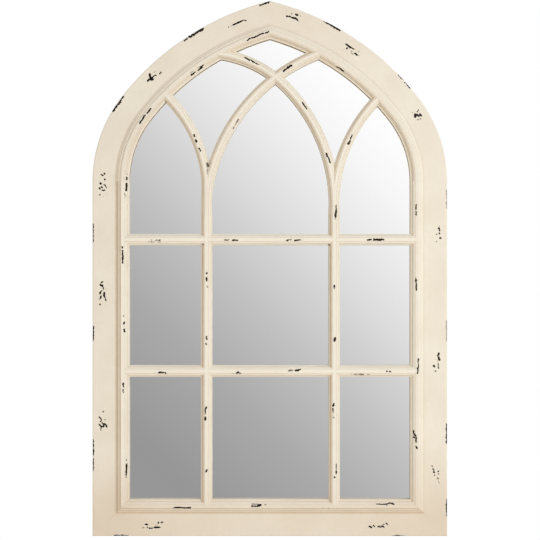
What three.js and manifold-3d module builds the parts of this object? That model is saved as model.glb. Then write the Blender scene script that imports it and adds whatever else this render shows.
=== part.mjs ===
// Arched window mirror: a painted wood frame with a pointed head, a raised moulding inside it, glazing
// bars with intersecting curves over one sheet of mirror glass, a backing board and its hangers.
// Sizes are millimetres. +Z is up, +X is to the right and the front faces -Y. Depths run forwards from
// the wall (Y = 0) and heights run up from the bottom edge. The last lines lower the whole part, so
// that its origin is the point on the wall midway between the two hooks that carry it.

import * as THREE from "three";
import { mergeVertices } from "three/addons/utils/BufferGeometryUtils.js";
import Module from "manifold-3d";

const wasm = await Module();
wasm.setup();

// Outline: straight sides, then two arcs on each side that meet at the point of the head
const frameWidth = 610;
const springHeight = 610; // top of the straight sides
const shoulderRadius = 236;
const shoulderAngle = 37.9;
const crownRadius = 464.5;

// Frame boards
const faceWidth = 63.4; // outer edge to the sight line of the glass
const boardThickness = 18;
const boardSetback = 8; // sight line to the inner edge of the boards
const shelfWidth = 14; // step at the back that takes the backing board
const edgeRadius = 2;

// Moulding, from its foot on the board to the sight line
const mouldingWidth = 23.1;
const mouldingRise = 8.5;
const footHeight = 1;
const coveWidth = 4.6;
const coveHeight = 4.2;
const ledgeWidth = 2.2;
const riserWidth = 2;
const crestEase = 0.8;
const mouldingOvoloWidth = 5.2;
const mouldingLipWidth = 3.2;

// Glazing bars, and the steps and curves that they share with the moulding
const barCrestWidth = 6.4;
const traceryCrestWidth = 5;
const barOvoloWidth = 4.5;
const barLipWidth = 2;
const quirkWidth = 1;
const quirkDepth = 1;
const ovoloDrop = 5.2;
const filletDrop = 0.8;
const lipDrop = 0.6;

// Places of the straight bars: centre lines, from the middle of the frame and from the bottom edge
const leftUprightX = -108.8;
const rightUprightX = 110.7;
const lowerBarHeight = 284;
const upperBarHeight = 510;

// Curved bars: each runs straight up from an upright, then follows two arcs. It starts to curve at
// "drop" below the springline, turns "turn" degrees on the "near" radius and goes on with the "far" one.
const traceryFoot = 58; // foot of the curved bars, below the springline
const traceryEnd = 100; // degrees from level: by there each curve has left the frame
const curves = {
  leftShort: { x: leftUprightX, bend: -1, drop: 3.8, near: 111.5, turn: 7.75, far: 235.4 },
  leftLong: { x: leftUprightX, bend: 1, drop: 37.2, near: 167.6, turn: 10.95, far: 302.3 },
  rightShort: { x: rightUprightX, bend: 1, drop: 45.4, near: 303.1, turn: 9.39, far: 253.4 },
  rightLong: { x: rightUprightX, bend: -1, drop: 40.1, near: 289.4, turn: 42.86, far: 201.9 },
};

// Sheets behind the boards
const glassThickness = 4;
const glassHold = 6; // how far the glass reaches behind the sight line
const packingThickness = 1.2;
const backingThickness = 3;

// Biscuits in the joints of the frame
const biscuitLength = 47;
const biscuitWidth = 15;
const biscuitThickness = 4;

// Hangers: a strap folded round the straight side of a D-shaped wire ring
const hangerDrop = 10; // axis of the ring, below the springline
const ringWire = 3;
const ringWidth = 22; // clear width inside the wire
const ringLeg = 4;
const ringCorner = 3;
const ringPlay = 0.3;
const strapWidth = 14;
const strapThickness = 1;
const strapLength = 45;
const strapScrews = [24, 36]; // below the axis of the ring

// Screws
const screwHeadRadius = 3.5;
const screwHeadHeight = 1.8;
const screwShankRadius = 1.6;
const screwPoint = 4;
const hangerScrewLength = 14;
const backingScrewLength = 12;
const backingScrewAcross = 120; // from the middle, on the bottom rail
const backingScrewHeights = [150, 330, 510]; // on each stile
const backingScrewShoulder = 20; // degrees up the shoulder arc
const backingScrewCrown = 57; // degrees up the crown arc

// Bumpers that keep the back off the wall
const bumperThickness = 7;
const bumperRadius = 9;
const bumperHeight = 45; // of the lower pair
const bumperAngle = 30; // of the upper pair, degrees up the shoulder arc

// Clearances
const fitGap = 0.3; // between pieces that touch
const holePlay = 0.3; // round a screw or a biscuit

// How finely curves are divided
const shoulderSteps = 10;
const crownSteps = 10;
const traceryStep = 4.5; // degrees
const profileSteps = 3;
const wireSides = 8;
const roundSides = 16;

const degrees = Math.PI / 180;
const halfWidth = frameWidth / 2;
const midGap = fitGap / 2;

// Depths, from the wall to the front
const frameBack = bumperThickness;
const frameFront = frameBack + boardThickness;
const crestDepth = frameFront + mouldingRise;
const shelfDepth = frameBack + backingThickness + fitGap;
const glassBack = shelfDepth + packingThickness + fitGap;
const glassFront = glassBack + glassThickness;
const barBack = glassFront + fitGap;

// Insets, from the outer edge towards the glass
const boardWidth = faceWidth - boardSetback;
const shelfInset = boardWidth - shelfWidth;
const landMiddle = shelfInset / 2; // middle of the bare back of a board
const glassInset = faceWidth - glassHold;
const mouldingFoot = faceWidth - mouldingWidth;
const mouldingCrestEnd = faceWidth - mouldingLipWidth - mouldingOvoloWidth;

const paint = new THREE.MeshStandardMaterial({ color: 0xece4d2, roughness: 0.6, metalness: 0 });
const silvering = new THREE.MeshStandardMaterial({ color: 0xc9cccd, roughness: 0.04, metalness: 1 });
const felt = new THREE.MeshStandardMaterial({ color: 0xb9a07c, roughness: 0.95, metalness: 0 });
const hardboard = new THREE.MeshStandardMaterial({ color: 0x9a7a54, roughness: 0.85, metalness: 0 });
const beech = new THREE.MeshStandardMaterial({ color: 0xd0a878, roughness: 0.75, metalness: 0 });
const zinc = new THREE.MeshStandardMaterial({ color: 0xb9bbbd, roughness: 0.35, metalness: 1 });
const rubber = new THREE.MeshStandardMaterial({ color: 0x4a4744, roughness: 0.9, metalness: 0 });

// ---- Solids ----

// A closed solid from vertices and triangles. One that comes out inside out is turned round.
function solid(vertices, triangles) {
  const build = (order) => {
    const vertProperties = new Float32Array(vertices);
    const triVerts = new Uint32Array(order);
    return new wasm.Manifold(new wasm.Mesh({ numProp: 3, vertProperties, triVerts }));
  };
  const made = build(triangles);
  return made.volume() < 0 ? build([...triangles].reverse()) : made;
}

function solidOfGeometry(geometry) {
  const bare = geometry.index ? geometry.toNonIndexed() : geometry.clone();
  bare.deleteAttribute("normal");
  bare.deleteAttribute("uv");
  const merged = mergeVertices(bare, 1e-4);
  return solid(merged.attributes.position.array, merged.index.array);
}

// A section of [across, depth] points carried along stations. Each station says where a point that lies
// that far across the section goes, as [x, height].
function sweep(section, stations) {
  const outline = section.map(([across, depth]) => new THREE.Vector2(across, depth));
  if (THREE.ShapeUtils.isClockWise(outline)) outline.reverse();
  const count = outline.length;
  const vertices = stations.flatMap((station) =>
    outline.flatMap((point) => {
      const [x, height] = station(point.x);
      return [x, -point.y, height];
    }),
  );
  const triangles = [];
  for (let row = 0; row < stations.length - 1; row++) {
    for (let k = 0; k < count; k++) {
      const a = row * count + k;
      const b = row * count + ((k + 1) % count);
      triangles.push(a, b, b + count, a, b + count, a + count);
    }
  }
  const last = (stations.length - 1) * count;
  for (const [a, b, c] of THREE.ShapeUtils.triangulateShape(outline, [])) {
    triangles.push(c, b, a, last + a, last + b, last + c);
  }
  return solid(vertices, triangles);
}

// A flat sheet with the outline points [x, height], between two depths
function sheet(points, back, front) {
  const shape = new THREE.Shape(points.map(([x, height]) => new THREE.Vector2(x, height)));
  const geometry = new THREE.ExtrudeGeometry(shape, { depth: front - back, bevelEnabled: false });
  geometry.rotateX(Math.PI / 2);
  geometry.translate(0, -back, 0);
  return solidOfGeometry(geometry);
}

// A round peg along the depth of the part
function peg([x, height], radius, back, front) {
  const geometry = new THREE.CylinderGeometry(radius, radius, front - back, roundSides);
  geometry.translate(x, -(back + front) / 2, height);
  return solidOfGeometry(geometry);
}

// A turned piece whose profile of [radius, forwards] points starts at a depth
function turned(profile, [x, height], depth) {
  const line = profile.map(([radius, forwards]) => new THREE.Vector2(radius, forwards));
  const geometry = new THREE.LatheGeometry(line, roundSides);
  geometry.rotateX(Math.PI);
  geometry.translate(x, -depth, height);
  return solidOfGeometry(geometry);
}

const cut = (piece, ...tools) => tools.reduce((rest, tool) => rest.subtract(tool), piece);

// The separate pieces of a solid, in order of X (axis 0) or of height (axis 2)
function piecesOf(whole, axis) {
  const middle = (piece) => piece.boundingBox().min[axis] + piece.boundingBox().max[axis];
  return whole.decompose().sort((a, b) => middle(a) - middle(b));
}

// ---- Lines of the outline ----

const shoulderCentre = { x: halfWidth - shoulderRadius, height: springHeight };
const crownCentre = {
  x: shoulderCentre.x - (crownRadius - shoulderRadius) * Math.cos(shoulderAngle * degrees),
  height: shoulderCentre.height - (crownRadius - shoulderRadius) * Math.sin(shoulderAngle * degrees),
};

function onArc(centre, radius, side, angle) {
  const x = centre.x + radius * Math.cos(angle * degrees);
  return [side * x, centre.height + radius * Math.sin(angle * degrees)];
}

const onShoulder = (side, inset, angle) => onArc(shoulderCentre, shoulderRadius - inset, side, angle);
const onCrown = (side, inset, angle) => onArc(crownCentre, crownRadius - inset, side, angle);

// The angle at which the crown arc comes within a gap of the middle of the frame
const apexAngle = (inset, gap) => Math.acos((gap - crownCentre.x) / (crownRadius - inset)) / degrees;
const apexHeight = (inset) => onCrown(1, inset, apexAngle(inset, 0))[1];

function archStations(side, gap) {
  const stations = [(inset) => [side * (halfWidth - inset), springHeight + gap]];
  for (let i = 1; i <= shoulderSteps; i++) {
    const angle = (shoulderAngle * i) / shoulderSteps;
    stations.push((inset) => onShoulder(side, inset, angle));
  }
  for (let i = 1; i <= crownSteps; i++) {
    const angle = (inset) => shoulderAngle + ((apexAngle(inset, gap) - shoulderAngle) * i) / crownSteps;
    stations.push((inset) => onCrown(side, inset, angle(inset)));
  }
  return stations;
}

// Each side of a mitre stands back half a gap from the joint plane, which takes more along the board
const mitreGap = midGap * Math.SQRT2;

function stileStations(side, gap, mitre) {
  return [
    (inset) => [side * (halfWidth - inset), inset + mitre],
    (inset) => [side * (halfWidth - inset), springHeight - gap],
  ];
}

function railStations(mitre) {
  return [(inset) => [inset + mitre - halfWidth, inset], (inset) => [halfWidth - inset - mitre, inset]];
}

// The whole outline at an inset, as one closed line of points
function outlineAt(inset) {
  const arch = (side) => archStations(side, 0).map((station) => station(inset));
  const foot = halfWidth - inset;
  return [[-foot, inset], [foot, inset], ...arch(1), ...arch(-1).slice(0, -1).reverse()];
}

// ---- Sections ----

// Part of a quarter turn between two section points: it leaves the first one nearly level
function hollowOrRound([across0, depth0], [across1, depth1]) {
  const from = 20 * degrees;
  const to = 75 * degrees;
  const points = [];
  for (let i = 0; i <= profileSteps; i++) {
    const angle = from + ((to - from) * i) / profileSteps;
    const along = (Math.sin(angle) - Math.sin(from)) / (Math.sin(to) - Math.sin(from));
    const drop = (Math.cos(from) - Math.cos(angle)) / (Math.cos(from) - Math.cos(to));
    points.push([across0 + (across1 - across0) * along, depth0 + (depth1 - depth0) * drop]);
  }
  return points;
}

function boardSection() {
  const points = [[0, frameBack]];
  for (let i = 0; i <= profileSteps; i++) {
    const angle = ((90 * i) / profileSteps) * degrees;
    const across = edgeRadius * (1 - Math.cos(angle));
    points.push([across, frameFront - edgeRadius * (1 - Math.sin(angle))]);
  }
  points.push([boardWidth, frameFront], [boardWidth, shelfDepth]);
  points.push([shelfInset, shelfDepth], [shelfInset, frameBack]);
  return points;
}

// From the edge of the crest down to the lip over the glass: an ovolo, a fillet and the lip
function sticking(crestEdge, ovoloWidth, lipWidth) {
  const foot = crestEdge + ovoloWidth;
  const top = [crestEdge + quirkWidth, crestDepth - quirkDepth / 2];
  const fillet = crestDepth - ovoloDrop - filletDrop;
  return [
    ...hollowOrRound(top, [foot, crestDepth - ovoloDrop]),
    [foot, fillet],
    [foot + lipWidth, fillet - lipDrop],
  ];
}

// The quirk is the narrow groove between the crest and the ovolo
const quirk = (crestEdge) => [[crestEdge, crestDepth], [crestEdge + quirkWidth / 3, crestDepth - quirkDepth]];

function mouldingSection() {
  const seat = frameFront + fitGap;
  const foot = [mouldingFoot, frameFront + footHeight];
  const ledge = [mouldingFoot + coveWidth, frameFront + footHeight + coveHeight];
  const riser = ledge[0] + ledgeWidth;
  return [
    [mouldingFoot, seat],
    ...hollowOrRound(foot, ledge),
    [riser, ledge[1]],
    [riser + riserWidth, crestDepth - crestEase / 2],
    [riser + riserWidth + crestEase, crestDepth],
    ...quirk(mouldingCrestEnd),
    ...sticking(mouldingCrestEnd, mouldingOvoloWidth, mouldingLipWidth),
    [faceWidth, barBack],
    [boardWidth + fitGap, barBack],
    [boardWidth + fitGap, seat],
  ];
}

const mirrored = (half) => [...half, ...half.map(([across, depth]) => [-across, depth]).reverse()];
const barHalf = (crestWidth) => crestWidth / 2 + barOvoloWidth + barLipWidth;

function barSection(crestWidth) {
  const edge = crestWidth / 2;
  const side = [barHalf(crestWidth), barBack];
  return mirrored([...quirk(edge), ...sticking(edge, barOvoloWidth, barLipWidth), side]);
}

// What is taken off the end of a bar so that it fits over the shape that it meets, with the gap
const overCrest = crestDepth + mouldingRise;
const underBar = glassBack;
const eased = (points) => points.map(([across, depth]) => [across + fitGap, depth + fitGap]);

function copeOverMoulding() {
  const crest = [mouldingCrestEnd, crestDepth];
  const fitted = eased([crest, ...sticking(mouldingCrestEnd, mouldingOvoloWidth, mouldingLipWidth)]);
  const far = [[mouldingFoot, underBar], [mouldingFoot, overCrest]];
  return [[fitted[0][0], overCrest], ...fitted, [faceWidth + fitGap, underBar], ...far];
}

function copeOverBar(crestWidth) {
  const edge = crestWidth / 2;
  const fitted = eased([[edge, crestDepth], ...sticking(edge, barOvoloWidth, barLipWidth)]);
  return mirrored([[fitted[0][0], overCrest], ...fitted, [barHalf(crestWidth) + fitGap, underBar]]);
}

// ---- Joints of the frame and their biscuits ----

const jointMiddle = boardWidth / 2;
const joints = {
  corner_left: { x: jointMiddle - halfWidth, height: jointMiddle, turn: 45 },
  corner_right: { x: halfWidth - jointMiddle, height: jointMiddle, turn: -45 },
  spring_left: { x: jointMiddle - halfWidth, height: springHeight, turn: 0 },
  spring_right: { x: halfWidth - jointMiddle, height: springHeight, turn: 0 },
  apex: { x: 0, height: (apexHeight(0) + apexHeight(boardWidth)) / 2, turn: 90 },
};

// A biscuit is a lens that lies along its joint. With play it is the slot that takes it.
function biscuit({ x, height, turn }, play) {
  const length = biscuitLength + 2 * play;
  const width = biscuitWidth + 2 * play;
  const radius = (length * length + width * width) / (4 * width);
  const reach = Math.asin(length / 2 / radius);
  const steps = 2 * profileSteps;
  const points = [];
  for (const face of [1, -1]) {
    for (let i = 0; i < steps; i++) {
      const angle = reach * (1 - (2 * i) / steps);
      const along = face * radius * Math.sin(angle);
      const across = face * (radius * Math.cos(angle) - radius + width / 2);
      points.push(new THREE.Vector2(along, across).rotateAround(new THREE.Vector2(), turn * degrees));
    }
  }
  const middle = (shelfDepth + frameFront) / 2;
  const half = biscuitThickness / 2 + play;
  return sheet(points.map((point) => [x + point.x, height + point.y]), middle - half, middle + half);
}

// ---- Screws ----

const backingScrewInset = shelfInset + shelfWidth / 2;
const hangerX = halfWidth - landMiddle;
const hangerHeight = springHeight - hangerDrop;
const strapFront = frameBack - fitGap; // the strap lies against the back of the stile
const strapBack = strapFront - strapThickness;

const backingScrewPlaces = [-1, 1].flatMap((side) => [
  [side * backingScrewAcross, backingScrewInset],
  ...backingScrewHeights.map((height) => [side * (halfWidth - backingScrewInset), height]),
  onShoulder(side, backingScrewInset, backingScrewShoulder),
  onCrown(side, backingScrewInset, backingScrewCrown),
]);
const hangerScrewPlaces = [-1, 1].flatMap((side) =>
  strapScrews.map((drop) => [side * hangerX, hangerHeight - drop]),
);

// A screw with a low domed head that bears on a face at a depth, and points forwards
function screw(place, face, length) {
  const profile = [
    [0, -screwHeadHeight],
    [screwHeadRadius * 0.6, -screwHeadHeight * 0.9],
    [screwHeadRadius, -screwHeadHeight * 0.4],
    [screwHeadRadius, 0],
    [screwShankRadius, 0],
    [screwShankRadius, length - screwPoint],
    [0, length],
  ];
  return turned(profile, place, face - fitGap);
}

// The hole for a screw, from just behind the face to where its tip ends
function screwHole(place, face, length) {
  return peg(place, screwShankRadius + holePlay, face - screwHeadHeight, face + length);
}

const screwHoles = [
  ...backingScrewPlaces.map((place) => screwHole(place, frameBack, backingScrewLength)),
  ...hangerScrewPlaces.map((place) => screwHole(place, strapBack, hangerScrewLength)),
];

// ---- Bars ----

const uprightX = { left: leftUprightX, right: rightUprightX };
const trimInset = (mouldingFoot + mouldingCrestEnd) / 2;
const trim = sheet(outlineAt(trimInset), underBar, overCrest);
const mouldingCopes = [
  sweep(copeOverMoulding(), stileStations(-1, 0, 0)),
  sweep(copeOverMoulding(), stileStations(1, 0, 0)),
  sweep(copeOverMoulding(), railStations(0)),
  sweep(copeOverMoulding(), archStations(-1, 0)),
  sweep(copeOverMoulding(), archStations(1, 0)),
];

// A bar that runs on under the moulding, cut to fit over it
const fitToMoulding = (bar) => cut(bar.intersect(trim), ...mouldingCopes);

const traceryStart = springHeight - traceryFoot;

function verticalStations(x, top) {
  return [(across) => [x + across, 0], (across) => [x + across, top]];
}

function upright(x) {
  return fitToMoulding(sweep(barSection(barCrestWidth), verticalStations(x, traceryStart - midGap)));
}

// The three lengths of a row of level bars, from left to right
function crossBars(height) {
  const stations = [(across) => [-halfWidth, height + across], (across) => [halfWidth, height + across]];
  const copes = Object.values(uprightX).map((x) =>
    sweep(copeOverBar(barCrestWidth), verticalStations(x, springHeight)),
  );
  return piecesOf(cut(fitToMoulding(sweep(barSection(barCrestWidth), stations)), ...copes), 0);
}

// The bar is as wide as its upright at the foot and narrows until it starts to curve
const footWidening = barHalf(barCrestWidth) / barHalf(traceryCrestWidth);

function traceryStations({ x, bend, drop, near, turn, far }) {
  const spring = springHeight - drop;
  const arc = (radius, angle) => {
    // both arcs have their centres on the line through the point where they meet
    const shift = radius - near;
    const centreX = x + bend * (near + shift * Math.cos(turn * degrees));
    const centreHeight = spring - shift * Math.sin(turn * degrees);
    return (across) => [
      centreX - bend * (radius + across) * Math.cos(angle * degrees),
      centreHeight + (radius + across) * Math.sin(angle * degrees),
    ];
  };
  const stations = [(across) => [x - bend * across * footWidening, traceryStart]];
  for (let angle = 0; angle < turn; angle += traceryStep) stations.push(arc(near, angle));
  for (let angle = turn; angle < traceryEnd; angle += traceryStep) stations.push(arc(far, angle));
  return stations;
}

// A curved bar stands on its upright, and the two that share an upright meet on its centre line
function traceryBar(curve) {
  const bar = fitToMoulding(sweep(barSection(traceryCrestWidth), traceryStations(curve)));
  const inner = curve.x + curve.bend * midGap;
  const outer = curve.x + curve.bend * frameWidth;
  const bottom = traceryStart + midGap;
  const room = [[inner, bottom], [outer, bottom], [outer, apexHeight(0)], [inner, apexHeight(0)]];
  return bar.intersect(sheet(room, underBar, overCrest));
}

// ---- Hangers and bumpers ----

const boreRadius = ringWire / 2 + ringPlay;
const knuckleRadius = boreRadius + strapThickness;
const ringDepth = strapFront - knuckleRadius; // axis of the ring

function strap(side) {
  const profile = new THREE.Shape();
  profile.moveTo(-strapLength, 0);
  profile.lineTo(0, 0);
  profile.absarc(0, knuckleRadius, knuckleRadius, -Math.PI / 2, Math.PI, false);
  profile.lineTo(-knuckleRadius, strapThickness);
  profile.lineTo(-strapLength, strapThickness);
  const bore = new THREE.Path();
  bore.absarc(0, knuckleRadius, boreRadius, 0, 2 * Math.PI, true);
  profile.holes.push(bore);
  const options = { depth: strapWidth, bevelEnabled: false, curveSegments: roundSides };
  const geometry = new THREE.ExtrudeGeometry(profile, options);
  // profile x runs up the stile, profile y towards the wall and the width along X
  const up = new THREE.Vector3(0, 0, 1);
  const toWall = new THREE.Vector3(0, 1, 0);
  const along = new THREE.Vector3(1, 0, 0);
  geometry.translate(0, 0, -strapWidth / 2);
  geometry.applyMatrix4(new THREE.Matrix4().makeBasis(up, toWall, along));
  geometry.translate(side * hangerX, -strapFront, hangerHeight);
  const holes = strapScrews.map((drop) =>
    peg([side * hangerX, hangerHeight - drop], screwShankRadius + holePlay, 0, frameBack),
  );
  return cut(solidOfGeometry(geometry), ...holes);
}

// The ring hangs down from its axis: a straight bar, round corners, short legs and a half circle
function ring(side) {
  const leg = (ringWidth + ringWire) / 2;
  const line = [];
  const addArc = (x, drop, radius, from, to, steps) => {
    for (let i = 0; i <= steps; i++) {
      const angle = (from + ((to - from) * i) / steps) * degrees;
      const out = [Math.cos(angle), Math.sin(angle)];
      line.push({ x: x + radius * out[0], height: radius * out[1] - drop, out });
    }
  };
  addArc(leg - ringCorner, ringCorner, ringCorner, 90, 0, profileSteps);
  addArc(0, ringLeg, leg, 0, -180, roundSides);
  addArc(ringCorner - leg, ringCorner, ringCorner, 180, 90, profileSteps);
  const vertices = [];
  for (const point of line) {
    for (let k = 0; k < wireSides; k++) {
      const angle = (360 * degrees * (k + 0.5)) / wireSides;
      const out = (ringWire / 2) * Math.cos(angle);
      const x = side * hangerX + point.x + out * point.out[0];
      vertices.push(x, (ringWire / 2) * Math.sin(angle) - ringDepth);
      vertices.push(hangerHeight + point.height + out * point.out[1]);
    }
  }
  const triangles = [];
  for (let row = 0; row < line.length; row++) {
    const next = ((row + 1) % line.length) * wireSides;
    for (let k = 0; k < wireSides; k++) {
      const beside = (k + 1) % wireSides;
      const [a, b] = [row * wireSides + k, row * wireSides + beside];
      triangles.push(a, b, next + beside, a, next + beside, next + k);
    }
  }
  return solid(vertices, triangles);
}

function bumper(place) {
  const seat = bumperThickness - fitGap;
  const profile = [
    [0, 0],
    [bumperRadius * 0.85, 0],
    [bumperRadius, bumperThickness * 0.3],
    [bumperRadius, seat],
    [0, seat],
  ];
  return turned(profile, place, 0);
}

// ---- Assembly ----

const mirror = new THREE.Group();

function add(name, material, piece) {
  const { vertProperties, triVerts } = piece.getMesh();
  const indexed = new THREE.BufferGeometry();
  indexed.setAttribute("position", new THREE.BufferAttribute(vertProperties, 3));
  indexed.setIndex(new THREE.BufferAttribute(triVerts, 1));
  const geometry = indexed.toNonIndexed();
  geometry.computeVertexNormals();
  const mesh = new THREE.Mesh(geometry, material);
  mesh.name = name;
  mirror.add(mesh);
}

function board(stations, jointNames) {
  const slots = jointNames.map((name) => biscuit(joints[name], holePlay));
  return cut(sweep(boardSection(), stations), ...slots, ...screwHoles);
}

for (const [word, side] of [["left", -1], ["right", 1]]) {
  const stile = stileStations(side, midGap, mitreGap);
  const arch = archStations(side, midGap);
  add(`frame_stile_${word}`, paint, board(stile, [`corner_${word}`, `spring_${word}`]));
  add(`frame_arch_${word}`, paint, board(arch, [`spring_${word}`, "apex"]));
  add(`moulding_${word}`, paint, sweep(mouldingSection(), stile));
  add(`moulding_arch_${word}`, paint, sweep(mouldingSection(), arch));
  add(`bar_upright_${word}`, paint, upright(uprightX[word]));
  add(`hanger_strap_${word}`, zinc, strap(side));
  add(`hanger_ring_${word}`, zinc, ring(side));
  add(`bumper_lower_${word}`, rubber, bumper([side * (halfWidth - landMiddle), bumperHeight]));
  add(`bumper_upper_${word}`, rubber, bumper(onShoulder(side, landMiddle, bumperAngle)));
}

add("frame_rail_bottom", paint, board(railStations(mitreGap), ["corner_left", "corner_right"]));
add("moulding_bottom", paint, sweep(mouldingSection(), railStations(mitreGap)));

for (const [name, joint] of Object.entries(joints)) add(`biscuit_${name}`, beech, biscuit(joint, 0));

for (const [row, height] of [["lower", lowerBarHeight], ["upper", upperBarHeight]]) {
  const [left, middle, right] = crossBars(height);
  add(`bar_${row}_left`, paint, left);
  add(`bar_${row}_middle`, paint, middle);
  add(`bar_${row}_right`, paint, right);
}

// The left long curve runs through the crossing, and the right one is in two lengths that butt on it
add("curve_left_short", paint, traceryBar(curves.leftShort));
add("curve_left_long", paint, traceryBar(curves.leftLong));
add("curve_right_short", paint, traceryBar(curves.rightShort));
const crossing = sweep(copeOverBar(traceryCrestWidth), traceryStations(curves.leftLong));
const [lowerLength, upperLength] = piecesOf(cut(traceryBar(curves.rightLong), crossing), 2);
add("curve_right_long_lower", paint, lowerLength);
add("curve_right_long_upper", paint, upperLength);

add("mirror_glass", silvering, sheet(outlineAt(glassInset), glassBack, glassFront));
add("packing_sheet", felt, sheet(outlineAt(glassInset), shelfDepth, shelfDepth + packingThickness));
const backing = sheet(outlineAt(shelfInset + fitGap), frameBack, frameBack + backingThickness);
add("backing_board", hardboard, cut(backing, ...screwHoles));

backingScrewPlaces.forEach((place, i) => {
  add(`backing_screw_${i + 1}`, zinc, screw(place, frameBack, backingScrewLength));
});
hangerScrewPlaces.forEach((place, i) => {
  add(`hanger_screw_${i + 1}`, zinc, screw(place, strapBack, hangerScrewLength));
});

// The hooks bear on the inside of the half circles of the rings, once these are turned up
const hookHeight = hangerHeight + ringLeg + ringWidth / 2;
mirror.position.z = -hookHeight;

export default mirror;
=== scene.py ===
import math
import random

import bmesh
import bpy
import numpy as np
from mathutils import Matrix, Vector, noise
from mathutils.geometry import tessellate_polygon


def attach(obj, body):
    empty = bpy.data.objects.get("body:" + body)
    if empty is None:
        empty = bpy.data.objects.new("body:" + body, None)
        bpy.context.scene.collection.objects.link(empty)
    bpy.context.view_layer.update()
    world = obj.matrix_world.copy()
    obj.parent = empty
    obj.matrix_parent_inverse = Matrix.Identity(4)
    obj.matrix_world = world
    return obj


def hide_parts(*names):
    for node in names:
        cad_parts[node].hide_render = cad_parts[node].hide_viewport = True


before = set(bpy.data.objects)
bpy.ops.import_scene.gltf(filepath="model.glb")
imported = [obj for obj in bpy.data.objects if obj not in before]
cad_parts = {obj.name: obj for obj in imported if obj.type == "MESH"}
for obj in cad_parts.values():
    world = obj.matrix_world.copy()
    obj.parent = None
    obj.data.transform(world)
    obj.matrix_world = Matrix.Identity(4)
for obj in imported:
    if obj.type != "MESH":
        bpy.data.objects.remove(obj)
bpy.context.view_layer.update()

# Everything below is in mm until a mesh is made: x to the right, depth forwards from the wall and
# height above the bottom edge. The frame's origin is the wall point between the two hooks.
hookHeight = 615


def toFrame(x, depth, height):
    return np.stack(np.broadcast_arrays(x, -depth, height - hookHeight), -1) / 1000


def linear(code):
    # an sRGB hex value as linear colour
    parts = [int(code[i:i + 2], 16) / 255 for i in (1, 3, 5)]
    return [*(c / 12.92 if c <= 0.04045 else ((c + 0.055) / 1.055) ** 2.4 for c in parts), 1]


def addNode(tree, kind, settings=None, inputs=None):
    # a node with its settings, and its inputs as values or as links from other nodes
    node = tree.nodes.new(kind)
    for name, value in (settings or {}).items():
        setattr(node, name, value)
    for name, value in (inputs or {}).items():
        if isinstance(value, bpy.types.NodeSocket):
            tree.links.new(value, node.inputs[name])
        else:
            node.inputs[name].default_value = value
    return node


def newMaterial(name):
    material = bpy.data.materials.new(name)
    material.use_nodes = True
    return material, material.node_tree, material.node_tree.nodes["Principled BSDF"]


def perMetre(size):
    # scale of a pattern whose features are this many mm apart
    return 1000 / size


# chalk-based cream paint, brushed over a dark stained softwood, glazed and rubbed through,
# with painted shade and painted light carried in the glaze layers
paintLook = {
    "cream": "#EFE7D5",
    "pale": "#F3ECDB",
    "aged": "#DFD2B8",
    # brown antique glaze in the grooves; the same colour is painted shade on faces turned from the light
    "glaze": "#B8925F",
    "polished": "#FFF9EA",  # high places wiped clean of glaze; also painted light on faces turned from the light
    "toned": "#D9BFA2",  # pinkish, darker tint towards the foot, its corners and the point
    "halo": "#F3EAD6",
    "stain": "#150E0B",
    "stainBrown": "#4C382A",
    # mm between the marks, detail and roughness: coats, age spots, and the ragged edge of a chip
    "patterns": {"coats": (70, 3, 0.55), "spots": (9, 4, 0.6), "ragged": (1.1, 2, 0.6)},
    "brushWidth": 2.2,  # mm; a real bristle mark is about 0.3, drawn coarser so that it shows
    "brushLength": 45,  # mm
    "brushHeight": 0.00005,  # metres
    "brushDetail": (3, 0.6),
    "wander": (1.6, -0.8),  # the edge of a rubbed place moves in and out by up to 0.8 mm
    "haloStrength": 0.55,
    # what each share goes by, from where to where it grows, and its least and most
    "shares": {
        "thinCoat": ("coats", 0.35, 0.65, 0, 1),
        "spotted": ("spots", 0.5, 0.8, 0, 0.14),
        "streaked": ("streaks", 0.5, 0.75, 0, 0.12),
        "settling": ("spots", 0.25, 0.6, 0.8, 1),
        "unpainted": ("glaze", 1, 2, 0, 1),  # painted shade: dark stain on deep walls by the glass
        "corners": ("side", 0.12, 0.29, 0.22, 0.46),  # metres from the middle
        "foot": ("height", -0.46, -0.6, 0, 1),  # metres from the hooks
        "point": ("height", 0.13, 0.28, 0, 0.1),
        "thinned": ("worn", -1.3, -0.3, 0, 1),  # mm inside a rubbed place
        "through": ("worn", -0.12, 0.22, 0, 1),
        "brown": ("spots", 0.55, 0.75, 0, 1),
        "roughness": ("streaks", 0.3, 0.7, 0.63, 0.75),
    },
    "ior": 1.5,
    "gloss": 0.15,  # specular level: chalk and clay leave the dry film almost without shine
}


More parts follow.
